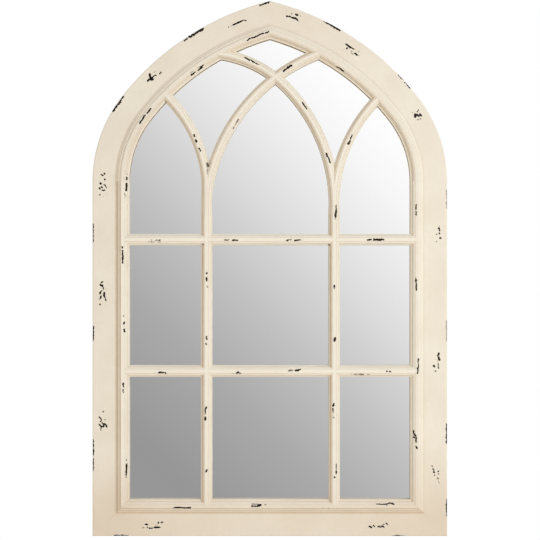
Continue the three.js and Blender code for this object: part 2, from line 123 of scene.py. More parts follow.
def paintMaterial(look):
    # dry and nearly flat to the eye, with faint brush streaks, brown antique glaze left in the grooves,
    # painted shade and painted light on some faces, and dark stained wood where the edges are rubbed through
    material, tree, shader = newMaterial("chalk_paint_brushed_and_rubbed")
    place = addNode(tree, "ShaderNodeTexCoord").outputs["Object"]
    axes = addNode(tree, "ShaderNodeSeparateXYZ", inputs={0: place})
    side = addNode(tree, "ShaderNodeMath", {"operation": "ABSOLUTE"}, {0: axes.outputs["X"]})
    source = {"side": side.outputs[0], "height": axes.outputs["Z"]}
    for name in ("wear", "bare", "glaze"):
        source[name] = addNode(tree, "ShaderNodeAttribute", {"attribute_name": name}).outputs["Fac"]
    for name, (size, detail, roughness) in look["patterns"].items():
        pattern = addNode(tree, "ShaderNodeTexNoise", inputs={
            "Vector": place, "Scale": perMetre(size), "Detail": detail, "Roughness": roughness})
        source[name] = pattern.outputs["Fac"]
    run = addNode(tree, "ShaderNodeAttribute", {"attribute_name": "run"})
    brushed = addNode(tree, "ShaderNodeVectorMath", {"operation": "MULTIPLY"}, {
        0: run.outputs["Vector"], 1: (1 / look["brushLength"], 1 / look["brushWidth"], 1)})
    detail, roughness = look["brushDetail"]
    source["streaks"] = addNode(tree, "ShaderNodeTexNoise", inputs={
        "Vector": brushed.outputs[0], "Scale": 1, "Detail": detail, "Roughness": roughness}).outputs["Fac"]
    wander = addNode(tree, "ShaderNodeMath", {"operation": "MULTIPLY_ADD"}, {
        0: source["ragged"], 1: look["wander"][0], 2: look["wander"][1]})
    source["worn"] = addNode(tree, "ShaderNodeMath", {"operation": "ADD"}, {
        0: source["wear"], 1: wander.outputs[0]}).outputs[0]

    share = {}
    for name, (by, low, high, least, most) in look["shares"].items():
        grown = addNode(tree, "ShaderNodeMapRange", {"interpolation_type": "SMOOTHSTEP"}, {
            "Value": source[by], "From Min": low, "From Max": high, "To Min": least, "To Max": most})
        share[name] = grown.outputs[0]
    # a darker, pinker tint: a little at the foot, more at its corners, and very little at the point
    for name, operation, first, second in (
        # glaze that settled, which also paints shade, and wiped places, which also paint light
        ("settled", "MULTIPLY", source["glaze"], share["settling"]),
        ("wiped", "MULTIPLY", source["glaze"], -1),
        ("footToning", "MULTIPLY", share["corners"], share["foot"]),
        ("chip", "MULTIPLY", share["through"], source["bare"]),
        ("halo", "MULTIPLY", share["thinned"], look["haloStrength"]),
    ):
        share[name] = addNode(tree, "ShaderNodeMath", {"operation": operation}, {
            0: first, 1: second}).outputs[0]
    endTintShare = addNode(tree, "ShaderNodeMath", {"operation": "MAXIMUM"}, {
        0: share["footToning"], 1: share["point"]})
    wood = addNode(tree, "ShaderNodeMix", {"data_type": "RGBA"}, {
        0: share["brown"], 6: linear(look["stain"]), 7: linear(look["stainBrown"])})

    colour = linear(look["cream"])
    # the glaze layer also paints shade, the polished layer also paints light, and the stain by the glass is
    # painted shade
    for amount, tone in (
        (share["thinCoat"], linear(look["pale"])), (share["spotted"], linear(look["aged"])),
        (share["streaked"], linear(look["aged"])), (share["settled"], linear(look["glaze"])),
        (share["wiped"], linear(look["polished"])), (share["unpainted"], linear(look["stain"])),
        (endTintShare.outputs[0], linear(look["toned"])), (share["halo"], linear(look["halo"])),
        (share["chip"], wood.outputs[2]),
    ):
        layer = addNode(tree, "ShaderNodeMix", {"data_type": "RGBA"}, {0: amount, 6: colour, 7: tone})
        colour = layer.outputs[2]
    lift = addNode(tree, "ShaderNodeMath", {"operation": "SUBTRACT"}, {
        0: source["streaks"], 1: share["chip"]})
    bump = addNode(tree, "ShaderNodeBump", inputs={
        "Strength": 1, "Distance": look["brushHeight"], "Height": lift.outputs[0]})
    tree.links.new(colour, shader.inputs["Base Color"])
    tree.links.new(share["roughness"], shader.inputs["Roughness"])
    tree.links.new(bump.outputs[0], shader.inputs["Normal"])
    shader.inputs["IOR"].default_value = look["ior"]
    shader.inputs["Specular IOR Level"].default_value = look["gloss"]
    return material


# plain finishes: a ground colour with a second one in a pattern, and its roughness and relief
plainLooks = {
    # sawn pine: pale straw wood with darker late wood along the grain
    "pine_planed": {"ground": "#DEC8A2", "second": "#BC9767", "size": (90, 3.2, 3.2), "contrast": 0.8,
                    "rough": (0.7, 0.82), "relief": 0.00012, "metal": 0, "along": "run"},
    # steamed beech, pressed: pinkish tan with short dark flecks
    "beech_pressed": {"ground": "#D3AA7B", "second": "#A87B4E", "size": (5, 0.9, 0.9), "contrast": 0.6,
                      "rough": (0.65, 0.8), "relief": 0.00005, "metal": 0, "along": "object"},
    # hardboard: brown felted wood fibre, dull, with a faint mottle
    "hardboard_pressed": {"ground": "#8F7353", "second": "#735A3F", "size": (6, 6, 6), "contrast": 0.6,
                          "rough": (0.75, 0.9), "relief": 0.00015, "metal": 0, "along": "object"},
    # millboard packing: soft grey-brown pulp with fibres, fully dull
    "millboard_felted": {"ground": "#B9A07C", "second": "#96805F", "size": (4, 4, 4), "contrast": 0.6,
                         "rough": (0.9, 1), "relief": 0.0001, "metal": 0, "along": "object"},
    # bright zinc plate on steel: cool grey with cloudy dull patches, soft reflections
    "steel_zinc_plated": {"ground": "#C6C8CA", "second": "#A9ABAD", "size": (5, 5, 5), "contrast": 0.5,
                          "rough": (0.24, 0.42), "relief": 0.00001, "metal": 1, "along": "object"},
    # moulded rubber: charcoal, matt, with a dusty bloom
    "rubber_moulded": {"ground": "#3D3A37", "second": "#57534E", "size": (3, 3, 3), "contrast": 0.4,
                       "rough": (0.75, 0.95), "relief": 0.00004, "metal": 0, "along": "object"},
}


def plainMaterial(name, look):
    material, tree, shader = newMaterial(name)
    if look["along"] == "run":
        place = addNode(tree, "ShaderNodeAttribute", {"attribute_name": "run"}).outputs["Vector"]
        shrink = [1 / size for size in look["size"]]
    else:
        place = addNode(tree, "ShaderNodeTexCoord").outputs["Object"]
        shrink = [perMetre(size) for size in look["size"]]
    stretched = addNode(tree, "ShaderNodeVectorMath", {"operation": "MULTIPLY"}, {0: place, 1: shrink})
    pattern = addNode(tree, "ShaderNodeTexNoise", inputs={
        "Vector": stretched.outputs[0], "Scale": 1, "Detail": 5, "Roughness": 0.6, "Distortion": 0.3})
    share = addNode(tree, "ShaderNodeMapRange", inputs={
        "Value": pattern.outputs["Fac"], "From Min": 0.4, "From Max": 0.65, "To Max": look["contrast"]})
    colour = addNode(tree, "ShaderNodeMix", {"data_type": "RGBA"}, {
        0: share.outputs[0], 6: linear(look["ground"]), 7: linear(look["second"])})
    rough = addNode(tree, "ShaderNodeMapRange", inputs={
        "Value": pattern.outputs["Fac"], "From Min": 0.3, "From Max": 0.7,
        "To Min": look["rough"][0], "To Max": look["rough"][1]})
    bump = addNode(tree, "ShaderNodeBump", inputs={
        "Distance": look["relief"], "Height": pattern.outputs["Fac"]})
    tree.links.new(colour.outputs[2], shader.inputs["Base Color"])
    tree.links.new(rough.outputs[0], shader.inputs["Roughness"])
    tree.links.new(bump.outputs[0], shader.inputs["Normal"])
    shader.inputs["Metallic"].default_value = look["metal"]
    return material


mirrorLook = {
    "silver": "#F0F0F0",
    "roughness": (0.0084, 0.0156),
    "haze": 180,  # mm
}


def mirrorMaterial(look):
    # silvered float glass: a clear, nearly neutral reflection with a very faint unevenness of tone
    material, tree, shader = newMaterial("float_glass_silvered")
    place = addNode(tree, "ShaderNodeTexCoord").outputs["Object"]
    haze = addNode(tree, "ShaderNodeTexNoise", inputs={
        "Vector": place, "Scale": perMetre(look["haze"]), "Detail": 2})
    rough = addNode(tree, "ShaderNodeMapRange", inputs={
        "Value": haze.outputs["Fac"], "From Min": 0.3, "From Max": 0.7,
        "To Min": look["roughness"][0], "To Max": look["roughness"][1]})
    tree.links.new(rough.outputs[0], shader.inputs["Roughness"])
    shader.inputs["Base Color"].default_value = linear(look["silver"])
    shader.inputs["Metallic"].default_value = 1
    return material


paint = paintMaterial(paintLook)
mirrorSilver = mirrorMaterial(mirrorLook)
finishes = {name: plainMaterial(name, look) for name, look in plainLooks.items()}
print("materials made")

# the outline of the frame, and the sections of its pieces: across from the outer edge or from the
# middle of a bar, and depth from the wall
frameSizes = {
    "width": 610,
    "springHeight": 610,  # top of the straight sides
    "shoulderRadius": 236,
    "shoulderAngle": 37.9,  # degrees; above it the crown arc runs to the point
    "crownRadius": 464.5,
    "faceWidth": 63.4,  # outer edge to the glass
    "back": 7,
    "front": 25,
    "boardWidth": 55.4,
    "shelfInset": 41.4,
    "shelfDepth": 10.3,
    "edgeRadius": 2,
    "jointGap": 0.02,  # each side of a joint of the frame, which the paint has filled
    "peak": 920.56,  # the outer edge stops at this height, where sanding has blunted the point
    "softness": 0.4,  # radius that paint and sanding give every corner
    "flatTurn": 0.3,  # radians; a corner that turns less stays as it is
    "fineStep": 1.4,  # between points of a face that shows
    "coarseStep": 4,
    "fineDepth": 24,  # faces in front of this are drawn finely
}
mouldingSizes = {
    "seat": 25.3,
    "foot": 40.3,
    "footTop": 26,
    "ledge": 44.9,
    "ledgeDepth": 30.2,
    "riser": 47.1,
    "crestStart": 49.9,
    "crestEnd": 55,
    "crestDepth": 33.5,
    "crestRound": (0.8, 0.4),
    "cove": [(-1.8, -0.28), (-0.9, -0.1), (-0.2, 0.3)],  # the foot's start: from foot and seat
    "coveEnd": 0.3,
    "ovolo": 5.2,
    "lip": 3.2,
    "back": 16.1,
    "rebate": 55.7,
}
stickingSizes = {
    # the worked edge of mouldings and bars: across from the crest and down from its top
    "quirk": (1 / 3, 0.75),  # 1 deep in the wood, less under the paint
    "ovoloTop": (1, 0.5),
    "ovoloDrop": 5.2,
    "fillet": 6,
    "lip": 6.6,
    "turn": (20, 75),  # degrees of a quarter turn that an ovolo takes up
}
barSizes = {
    "crest": 3.2,  # half widths of the crest
    "curveCrest": 2.5,
    "ovolo": 4.5,
    "lip": 2,
    "uprights": (-108.8, 110.7),
    "rows": {"lower": 284, "upper": 510},
    "fit": 0.02,  # bars are let in tightly and painted over
}
barEdge = barSizes["ovolo"] + barSizes["lip"]
leftUpright, rightUpright = barSizes["uprights"]
curveSizes = {
    # each springs "drop" below the springline, turns "turn" degrees on the near radius, then
    # follows the far one
    "foot": 552,
    "reach": 480,  # longer than any of them
    "curves": {
        "left_short": {"x": leftUpright, "bend": -1, "drop": 3.8, "near": 111.5, "turn": 7.75,
                       "far": 235.4},
        "left_long": {"x": leftUpright, "bend": 1, "drop": 37.2, "near": 167.6, "turn": 10.95,
                      "far": 302.3},
        "right_short": {"x": rightUpright, "bend": 1, "drop": 45.4, "near": 303.1, "turn": 9.39,
                        "far": 253.4},
        "right_long": {"x": rightUpright, "bend": -1, "drop": 40.1, "near": 289.4, "turn": 42.86,
                       "far": 201.9},
    },
}

halfWidth = frameSizes["width"] / 2
springHeight = frameSizes["springHeight"]
jointGap = frameSizes["jointGap"]
shoulderAngle = frameSizes["shoulderAngle"]
shoulderCentre = (halfWidth - frameSizes["shoulderRadius"], springHeight)
centreGap = frameSizes["crownRadius"] - frameSizes["shoulderRadius"]
crownCentre = (
    shoulderCentre[0] - centreGap * math.cos(math.radians(shoulderAngle)),
    shoulderCentre[1] - centreGap * math.sin(math.radians(shoulderAngle)),
)


def insetAt(x, height):
    # how far a point lies inside the outer edge
    side = np.abs(x)
    turn = math.radians(shoulderAngle)
    rise = (height - crownCentre[1]) * math.cos(turn) - (side - crownCentre[0]) * math.sin(turn)
    shoulder = frameSizes["shoulderRadius"] - np.hypot(side - shoulderCentre[0], height - shoulderCentre[1])
    crown = frameSizes["crownRadius"] - np.hypot(side - crownCentre[0], height - crownCentre[1])
    inset = np.where(height < springHeight, halfWidth - side, np.where(rise > 0, crown, shoulder))
    return np.minimum(inset, height)


def partTurn(start, end, steps=8):
    # part of a quarter turn between two section points: it leaves the first one nearly level
    angles = np.radians(np.linspace(*stickingSizes["turn"], steps + 1))
    along = (np.sin(angles) - np.sin(angles[0])) / (np.sin(angles[-1]) - np.sin(angles[0]))
    drop = (np.cos(angles[0]) - np.cos(angles)) / (np.cos(angles[0]) - np.cos(angles[-1]))
    return [(start[0] + (end[0] - start[0]) * a, start[1] + (end[1] - start[1]) * b)
            for a, b in zip(along, drop)]


def sticking(edge, ovolo, lip):
    # from the crest down to the lip over the glass: the quirk, an ovolo, a fillet and the lip
    size = stickingSizes
    top = mouldingSizes["crestDepth"]
    foot = edge + ovolo
    return [
        (edge, top),
        (edge + size["quirk"][0], top - size["quirk"][1]),
        *partTurn((edge + size["ovoloTop"][0], top - size["ovoloTop"][1]), (foot, top - size["ovoloDrop"])),
        (foot, top - size["fillet"]),
        (foot + lip, top - size["lip"]),
    ]


def boardSection():
    size = frameSizes
    radius = size["edgeRadius"]
    arris = [(radius * (1 - math.cos(a)), size["front"] - radius * (1 - math.sin(a)))
             for a in np.radians(np.linspace(0, 90, 7))]
    return [
        (0, size["back"]), *arris, (size["boardWidth"], size["front"]),
        (size["boardWidth"], size["shelfDepth"]), (size["shelfInset"], size["shelfDepth"]),
        (size["shelfInset"], size["back"]),
    ]


def mouldingSection():
    size = mouldingSizes
    return [
        *((size["foot"] + across, size["seat"] + rise) for across, rise in size["cove"]),
        *partTurn((size["foot"] + size["coveEnd"], size["footTop"]), (size["ledge"], size["ledgeDepth"])),
        (size["riser"], size["ledgeDepth"]),
        (size["crestStart"] - size["crestRound"][0], size["crestDepth"] - size["crestRound"][1]),
        (size["crestStart"], size["crestDepth"]),
        *sticking(size["crestEnd"], size["ovolo"], size["lip"]),
        (frameSizes["faceWidth"], size["back"]),
        (size["rebate"], size["back"]),
        (size["rebate"], size["seat"]),
    ]


def barSection(crest):
    half = [
        (0, mouldingSizes["crestDepth"]), *sticking(crest, barSizes["ovolo"], barSizes["lip"]),
        (crest + barEdge, mouldingSizes["back"]), (0, mouldingSizes["back"]),
    ]
    return half + [(-across, depth) for across, depth in half[-2:0:-1]]


def softened(points, radius):
    # every sharp corner rounded off
    soft = []
    for i, point in enumerate(points):
        here = Vector(point)
        before = Vector(points[i - 1]) - here
        after = Vector(points[(i + 1) % len(points)]) - here
        turn = math.pi - before.angle(after)
        if turn < frameSizes["flatTurn"]:
            soft.append(here)
            continue
        reach = min(radius * math.tan(turn / 2), 0.4 * before.length, 0.4 * after.length)
        start, end = here + before.normalized() * reach, here + after.normalized() * reach
        for share in (0, 1 / 3, 2 / 3, 1):
            soft.append(start.lerp(here, share).lerp(here.lerp(end, share), share))
    return soft


def divided(points, step):
    # more points along the faces that show, and one close to each corner, so that flats stay flat
    fine = []
    for here, there in zip(points, points[1:] + points[:1]):
        length = (there - here).length
        stops = [0]
        if length > 1:
            stops += list(np.linspace(0.25, length - 0.25, max(2, 1 + math.ceil(length / step(here)))))
        fine += [here.lerp(there, stop / length) for stop in stops]
    return np.array(fine)


def surfaceStep(limit):
    # finer on the front, as far in as the limit
    size = frameSizes
    return lambda point: (
        size["fineStep"] if point.y > size["fineDepth"] and point.x < limit else size["coarseStep"])


def edgeLine(section):
    # half width of a stuck edge at each depth, for the pieces that are fitted over it
    across, depth = np.array(section)[::-1].T
    return lambda at: np.interp(at, depth, across)


# a run says where a point that lies "across" a section goes, "along" the piece
def stileRun(side):
    return lambda across, along: (side * (halfWidth - across) + 0 * along, along + 0 * across)


def railRun(across, along):
    return along + 0 * across, across + 0 * along


def archRun(side):
    def place(across, along):
        low = along <= shoulderAngle  # along is in degrees
        radius = np.where(low, frameSizes["shoulderRadius"], frameSizes["crownRadius"]) - across
        x = np.where(low, shoulderCentre[0], crownCentre[0]) + radius * np.cos(np.radians(along))
        height = np.where(low, shoulderCentre[1], crownCentre[1]) + radius * np.sin(np.radians(along))
        return side * x, height
    return place


def uprightRun(x):
    return lambda across, along: (x + across + 0 * along, along + 0 * across)


def levelRun(height):
    return lambda across, along: (along + 0 * across, height + across + 0 * along)


def curveRun(curve):
    rise = springHeight - curve["drop"] - curveSizes["foot"]
    turn = math.radians(curve["turn"])
    widening = (barSizes["crest"] + barEdge) / (barSizes["curveCrest"] + barEdge) - 1

    def place(across, along):
        nearTurn = (along - rise) / curve["near"]
        farTurn = (along - rise - curve["near"] * turn) / curve["far"]
        angle = np.where(nearTurn < turn, nearTurn, turn + farTurn)
        angle = np.maximum(angle, 0)
        radius = np.where(nearTurn < turn, curve["near"], curve["far"])
        shift = radius - curve["near"]
        centreX = curve["x"] + curve["bend"] * (curve["near"] + shift * math.cos(turn))
        centreHeight = curveSizes["foot"] + rise - shift * math.sin(turn)
        # below its spring the bar runs straight up, and narrows from the width of the upright
        wide = across * (1 + widening * np.clip(1 - along / rise, 0, 1))
        x = centreX - curve["bend"] * (radius + wide) * np.cos(angle)
        height = centreHeight + (radius + wide) * np.sin(angle)
        return x, np.where(along < rise, curveSizes["foot"] + along, height)
    return place


def lineEnds(section, run, reach, room, seed, probes=2000):
    # where each line of the section starts and ends, so that the piece keeps to its room
    along = np.linspace(*reach, probes)
    x, height = run(section[:, 0], along[:, None])
    free = room(x, height, section[:, 1])
    middle = np.searchsorted(along, seed)
    ends = []
    for line in free.T:
        taken = np.nonzero(line < 0)[0]
        before, after = taken[taken < middle], taken[taken > middle]
        first, last = along[0], along[-1]
        if len(before):
            i = before[-1]
            first = along[i] - line[i] * (along[i + 1] - along[i]) / (line[i + 1] - line[i])
        if len(after):
            i = after[0]
            last = along[i - 1] - line[i - 1] * (along[i] - along[i - 1]) / (line[i] - line[i - 1])
        ends.append((first, last))
    return np.array(ends).T


# short strokes where the paint is rubbed through, in mm from the middle of the frame and above the
# bottom edge: start, end, width, and how bare the wood is
wearStrokes = {
    "outerEdge": [
        (-146.9, 852.5, -141.5, 856.1, 1.9, 0.8), (-139.8, 857.9, -136.7, 859.6, 2.2, 0.9),
        (-135.2, 860.6, -113.9, 873, 2.9, 1), (-17.8, 912.9, -10.9, 914.2, 1.5, 0.6),
        (-12.6, 914.4, -2.3, 917.8, 2.1, 0.9), (-2.3, 919.7, 5.4, 921.1, 3.3, 1),
        (-269.4, 731, -252.6, 755.1, 2.2, 1), (92.4, 885.7, 95.7, 883.6, 1.4, 0.4),
        (97.9, 882.9, 107.7, 877.8, 2.1, 0.8), (107.7, 877.3, 122.3, 868.9, 2.4, 1),
        (222.3, 792.5, 228.7, 786, 2.1, 0.8), (233.2, 780.3, 241.4, 770.9, 2.2, 0.9),
        (-304.1, 536.8, -304.1, 521.3, 1.7, 0.8), (-304.1, 517.9, -304.1, 505.8, 1.5, 0.6),
        (-304.1, 359.7, -304.1, 335.7, 1.9, 0.8), (-304.1, 165.5, -304.1, 138, 1.9, 0.8),
        (-304.1, 132.9, -304.1, 114, 1.7, 0.7), (304.1, 595.2, 304.1, 564.3, 1.2, 0.4),
        (304.1, 370.1, 304.1, 335.7, 1.2, 0.4), (304.1, 191.3, 304.1, 160.4, 1.9, 0.8),
        (304.1, 64.1, 304.1, 34.9, 1.9, 0.8), (-266.2, 0.7, -243.8, 0.7, 2.1, 0.9),
        (211.7, 0.7, 222, 0.7, 1.9, 0.8), (223.7, 0.7, 232.3, 0.7, 1.2, 0.4),
    ],
    "boards": [
        (-206.7, 794.6, -205.1, 786.9, 3.6, 1), (-205.1, 787.2, -202, 785.5, 4, 1),
        (-202.6, 787.7, -200, 790.8, 2.6, 1), (-200, 791.2, -195.9, 792.7, 2.1, 0.9),
        (-207.4, 785.5, -210.1, 782.7, 2.9, 0.75), (-197.6, 800.1, -198.8, 797.4, 1.7, 0.45),
        (-187.4, 797.9, -189.5, 795.1, 2.2, 0.8), (-63.2, 879.5, -55.1, 882.6, 2.2, 1),
        (-57.3, 881.9, -49.1, 885.4, 2.6, 1), (-48.7, 885.4, -44.8, 887.8, 1.5, 0.7),
        (-42.2, 886.9, -41, 886.7, 2.1, 0.8), (-71.4, 876.2, -70.9, 874.9, 1.7, 0.5),
        (-68, 876.6, -64.7, 878, 1.2, 0.4), (28.6, 893.9, 29.8, 894.1, 2.4, 0.75),
        (33.3, 894.3, 35.1, 893.1, 2.2, 0.85), (38.6, 891.7, 45.8, 890.2, 3.3, 1),
        (44.9, 890.5, 47.2, 888.1, 2.8, 1), (46.7, 887.4, 49.4, 885.2, 1.5, 0.6),
        (36.7, 898.2, 37.4, 898.6, 2.1, 0.55), (44.6, 897.4, 47, 895.7, 2.8, 0.7),
        (43.6, 898.4, 49.8, 897.2, 1.4, 0.5), (52.5, 894.3, 52.9, 893.9, 1.9, 0.6),
        (29, 902.5, 29.3, 902.2, 1.7, 0.35), (36.9, 887.4, 37.9, 886.7, 1.4, 0.3),
        (131.4, 845.8, 138.3, 840.8, 3.1, 1), (140.9, 839.6, 143.6, 837.9, 2.4, 0.85),
        (132.3, 838.8, 133.1, 838.4, 2.8, 1), (146.4, 830.4, 149.8, 827.9, 2.9, 1),
        (139.8, 833.8, 142.1, 832.9, 1.7, 0.45), (140.3, 830.4, 142.9, 829, 1.7, 0.45),
        (149.8, 834.3, 154.3, 832.8, 1.2, 0.4), (145, 836.9, 148.9, 835.3, 1, 0.35),
        (153.7, 826.7, 154.4, 826.6, 1.4, 0.3), (249.5, 725.5, 250, 720.9, 3.1, 1),
        (250.3, 724.1, 251.7, 722.4, 2.4, 0.9), (253.6, 725, 255.5, 722.4, 2.8, 1),
        (258.1, 726.2, 260.1, 722.9, 2.4, 1), (255.5, 733.1, 253.3, 729.3, 1.7, 0.6),
        (244.8, 728.8, 245.2, 728.6, 1.7, 0.4), (254.1, 716.2, 254.8, 716.4, 1.7, 0.6),
        (258.1, 718.3, 259.1, 716.9, 1.5, 0.5), (-214.6, 20.3, -210.5, 20.3, 2.6, 1),
        (-191.7, 23.5, -191.6, 23, 2.6, 1), (-186.7, 23.2, -184.5, 24.1, 2.2, 1),
        (-219.2, 14.8, -216.3, 14.8, 1.9, 0.45), (-210.8, 15.1, -210.3, 15, 2.1, 0.8),
        (-207.4, 13.6, -202.6, 13.9, 2.2, 1), (-198.1, 15, -189.8, 15, 2.8, 1),
        (-197.4, 18.7, -193.1, 18.6, 1.2, 0.4), (171.3, 16.7, 175.2, 14.8, 2.8, 1),
        (178, 18.6, 180.4, 16.3, 1.9, 0.8), (186.1, 16.3, 188.5, 16.7, 2.4, 1),
        (188.6, 15, 191, 15, 1.4, 0.6), (192.1, 17.7, 195.9, 15.6, 2.4, 1),
        (194.1, 20.6, 197.1, 20.6, 1.7, 0.7), (199.6, 22.5, 202.7, 20.1, 1.9, 0.9),
        (-289.9, 621.9, -287.6, 620.1, 2.2, 0.8), (-284.4, 623.6, -284.2, 622.9, 2.4, 0.8),
        (-284, 613.6, -283.7, 612.9, 2.8, 0.9), (-291.1, 606.7, -290.9, 606, 3.1, 1),
        (-285.1, 605, -283.3, 603, 1.9, 0.8), (-283.3, 603, -280.3, 599, 1.5, 0.65),
        (-289.4, 600.4, -288.3, 599, 2.4, 0.95), (-293, 598.3, -292.6, 597.6, 2.9, 1),
        (-288.5, 595.2, -286.4, 594.2, 1.9, 0.75), (-286.4, 594.2, -283.9, 595.2, 1.9, 0.7),
        (-292.6, 587.3, -292.3, 586.6, 2.4, 0.5), (-280.9, 589.7, -280.6, 589.4, 1.7, 0.35),
        (-286.4, 584.2, -286.1, 583.9, 1.7, 0.3), (-289.2, 436.2, -287.5, 437.3, 2.6, 0.9),
        (-291.1, 432.5, -290.9, 431.4, 2.6, 0.8), (-288.2, 431.1, -287.6, 429.5, 2.8, 1),
        (-287, 428.5, -285.9, 424.4, 1.9, 0.75), (-282.5, 424.5, -282.1, 424.5, 1.7, 0.45),
        (-288.5, 422.5, -290.9, 419.9, 1.7, 0.7), (-291.4, 419.6, -291.9, 416.5, 2.8, 1),
        (-285.1, 418.2, -284.5, 414.7, 2.8, 1), (-285.6, 413.7, -283.3, 409.6, 1.9, 0.8),
        (-283.3, 409.6, -282.1, 405.6, 1.9, 0.75), (-290.2, 412.3, -290.6, 409.9, 2.8, 0.95),
        (-291.1, 409.6, -293.7, 407.2, 1.7, 0.6), (-292.5, 398.8, -292.1, 398.4, 2.4, 0.65),
        (-286.8, 214.3, -286.6, 213.6, 2.4, 0.6), (-293.7, 205.2, -291.4, 202.8, 2.1, 0.9),
        (-290.6, 202.1, -289, 199.4, 2.1, 0.8), (-290.2, 198.2, -291.4, 197.1, 1.9, 0.75),
        (-284.7, 200.6, -282.8, 199.6, 1.7, 0.45), (-288.5, 194.7, -285.6, 192, 2.4, 1),
        (-285.4, 192, -285.9, 187.9, 2.6, 1), (-293.7, 192.5, -290.2, 189.6, 2.1, 0.9),
        (-290.2, 189.6, -289.7, 186.8, 2.1, 0.85), (-290.4, 186.1, -291.1, 181.8, 1.5, 0.6),
        (-283.7, 193.4, -281.1, 190.6, 1.9, 0.75), (-280.9, 190.4, -280.1, 187.5, 2.2, 0.85),
        (290.4, 529.6, 290.7, 528.9, 2.6, 0.95), (291.6, 526.1, 291.9, 524.9, 2.2, 0.75),
        (291.6, 521, 291.9, 520.5, 2.6, 0.95), (292.3, 512.4, 293.7, 512.4, 2.8, 0.9),
        (286.6, 519.2, 287.3, 519.2, 2.2, 0.55), (286.4, 506.9, 287.1, 506.9, 2.1, 0.5),
        (291.4, 533.7, 291.6, 532.7, 1.7, 0.35), (283.3, 533.3, 283.9, 533.2, 1.9, 0.3),
        (290.6, 314.5, 290.2, 311.6, 2.8, 1), (288.3, 310.8, 290.7, 311.3, 2.1, 0.9),
        (290.4, 307.5, 291.3, 303.7, 3.1, 1), (282, 292.7, 282.3, 291.5, 3.3, 1),
        (289.4, 297, 289.9, 291.9, 1.9, 0.65), (289.9, 291.9, 290, 288.2, 1.9, 0.6),
        (284.4, 283.6, 284.9, 283.3, 2.2, 0.65), (288.3, 301.1, 288.5, 300.4, 1.5, 0.4),
        (284.7, 303.9, 284.9, 303.7, 1.5, 0.3), (279.4, 120.8, 279.7, 120.1, 2.2, 0.65),
        (280.4, 116.5, 281.8, 113.4, 2.1, 0.65), (282.5, 110.3, 282.8, 109.7, 2.8, 1),
        (283, 104.8, 283.3, 104.5, 2.1, 0.65), (289.2, 111.4, 289.9, 111.6, 2.4, 0.95),
        (289.9, 107.3, 290.2, 106.9, 2.1, 0.5), (288.3, 99.9, 289.4, 98.8, 2.2, 0.65),
        (289.7, 94.2, 290, 93.7, 2.2, 0.65), (291.4, 91.1, 291.8, 90.8, 1.7, 0.4),
    ],
    "moulding": [
        (-38.8, 851.3, -33, 855.4, 2.2, 1), (-33, 855.6, -26.3, 856.5, 1.9, 0.9),
        (-26.3, 856.8, -17.6, 861.3, 2.4, 1), (-17.6, 861.6, -11.1, 864, 2.2, 0.9),
        (-8, 864.4, -3.9, 865, 2.1, 0.9), (-3.9, 865.4, -2.1, 866.8, 1.9, 0.9),
        (-134.7, 792.4, -128.7, 797.3, 2.2, 0.9), (-135.9, 796.1, -131.4, 799.2, 1.2, 0.35),
        (-122.8, 800.8, -116.7, 805.4, 2.2, 1), (-118, 804.7, -114.3, 809.8, 2.2, 1),
        (-119.4, 806.8, -116.3, 806.9, 1.7, 0.9), (-123.9, 804.7, -121.1, 806.2, 1.2, 0.35),
        (-222.8, 709.7, -214.2, 723.1, 2.6, 1), (-210.4, 726.5, -204.1, 734.9, 2.4, 1),
        (-245.2, 623.3, -244.7, 621.9, 1.5, 0.3), (-245.6, 616.8, -245.9, 612.7, 1.9, 0.75),
        (-245.9, 606.9, -245.9, 601.7, 2.1, 0.9), (-246.1, 601.7, -246.3, 594.5, 2.4, 1),
        (-249.7, 588.7, -248.3, 586.3, 1.5, 0.45), (-248.3, 586.3, -246.6, 583.9, 1.5, 0.4),
        (-249.3, 582.2, -249, 581.5, 1.4, 0.25), (-253.3, 497.5, -253.1, 495.8, 2.6, 0.9),
        (-252.6, 491, -252.4, 483.4, 2.4, 1), (-252.4, 483.4, -252.4, 475.7, 2.8, 1),
        (-252.6, 475.7, -252.8, 469.7, 2.2, 0.95), (-250.7, 379.2, -250.5, 378.5, 2.2, 0.55),
        (-249.7, 367.5, -250.4, 365.7, 2.4, 0.95), (-250, 356.1, -250.4, 354.5, 2.2, 0.75),
        (-249.7, 354.2, -249.3, 352.1, 2.1, 0.8), (-250.7, 360.5, -250.4, 360.3, 1.4, 0.2),
        (-251.4, 263.7, -251.9, 260.1, 2.2, 0.75), (-251.7, 259.2, -250.7, 257.1, 2.1, 0.8),
        (-251.2, 252.7, -251.7, 249.6, 2.1, 0.75), (-251.6, 249.6, -250.7, 247.5, 1.9, 0.7),
        (-246.3, 131.3, -246.1, 131, 2.2, 0.65), (-245.9, 124.5, -246.1, 118.3, 2.2, 1),
        (-246.1, 118.3, -246.3, 109.7, 2.2, 0.95), (-246.3, 109.7, -246.8, 106.4, 2.2, 0.95),
        (-247.1, 101.8, -246.3, 102.3, 1.9, 0.5), (251.4, 570, 250.4, 566.1, 2.1, 0.7),
        (250.2, 566.1, 250.7, 562.3, 2.1, 0.85), (250.5, 558.3, 250.9, 552.5, 2.2, 0.9),
        (250.2, 444.9, 250.4, 443.1, 1.5, 0.4), (250.7, 440.9, 250.9, 438.9, 2.6, 0.95),
        (250.7, 438.3, 251.1, 432.9, 1.7, 0.85), (251.2, 432.3, 251.1, 423.4, 2.4, 1),
        (255.5, 305.8, 254.5, 301.7, 2.1, 1), (254.3, 301.4, 254.7, 291.4, 1.5, 0.8),
        (253.6, 290.1, 254, 284.6, 2.4, 1), (253.8, 284.6, 253.1, 280.8, 2.2, 1),
        (246.9, 181.7, 247.3, 176.9, 2.6, 1), (247.3, 175.9, 249.7, 174.3, 2.2, 1),
        (249.7, 174.3, 250.9, 170.6, 2.4, 1), (250.9, 170.6, 250.7, 162.9, 2.2, 1),
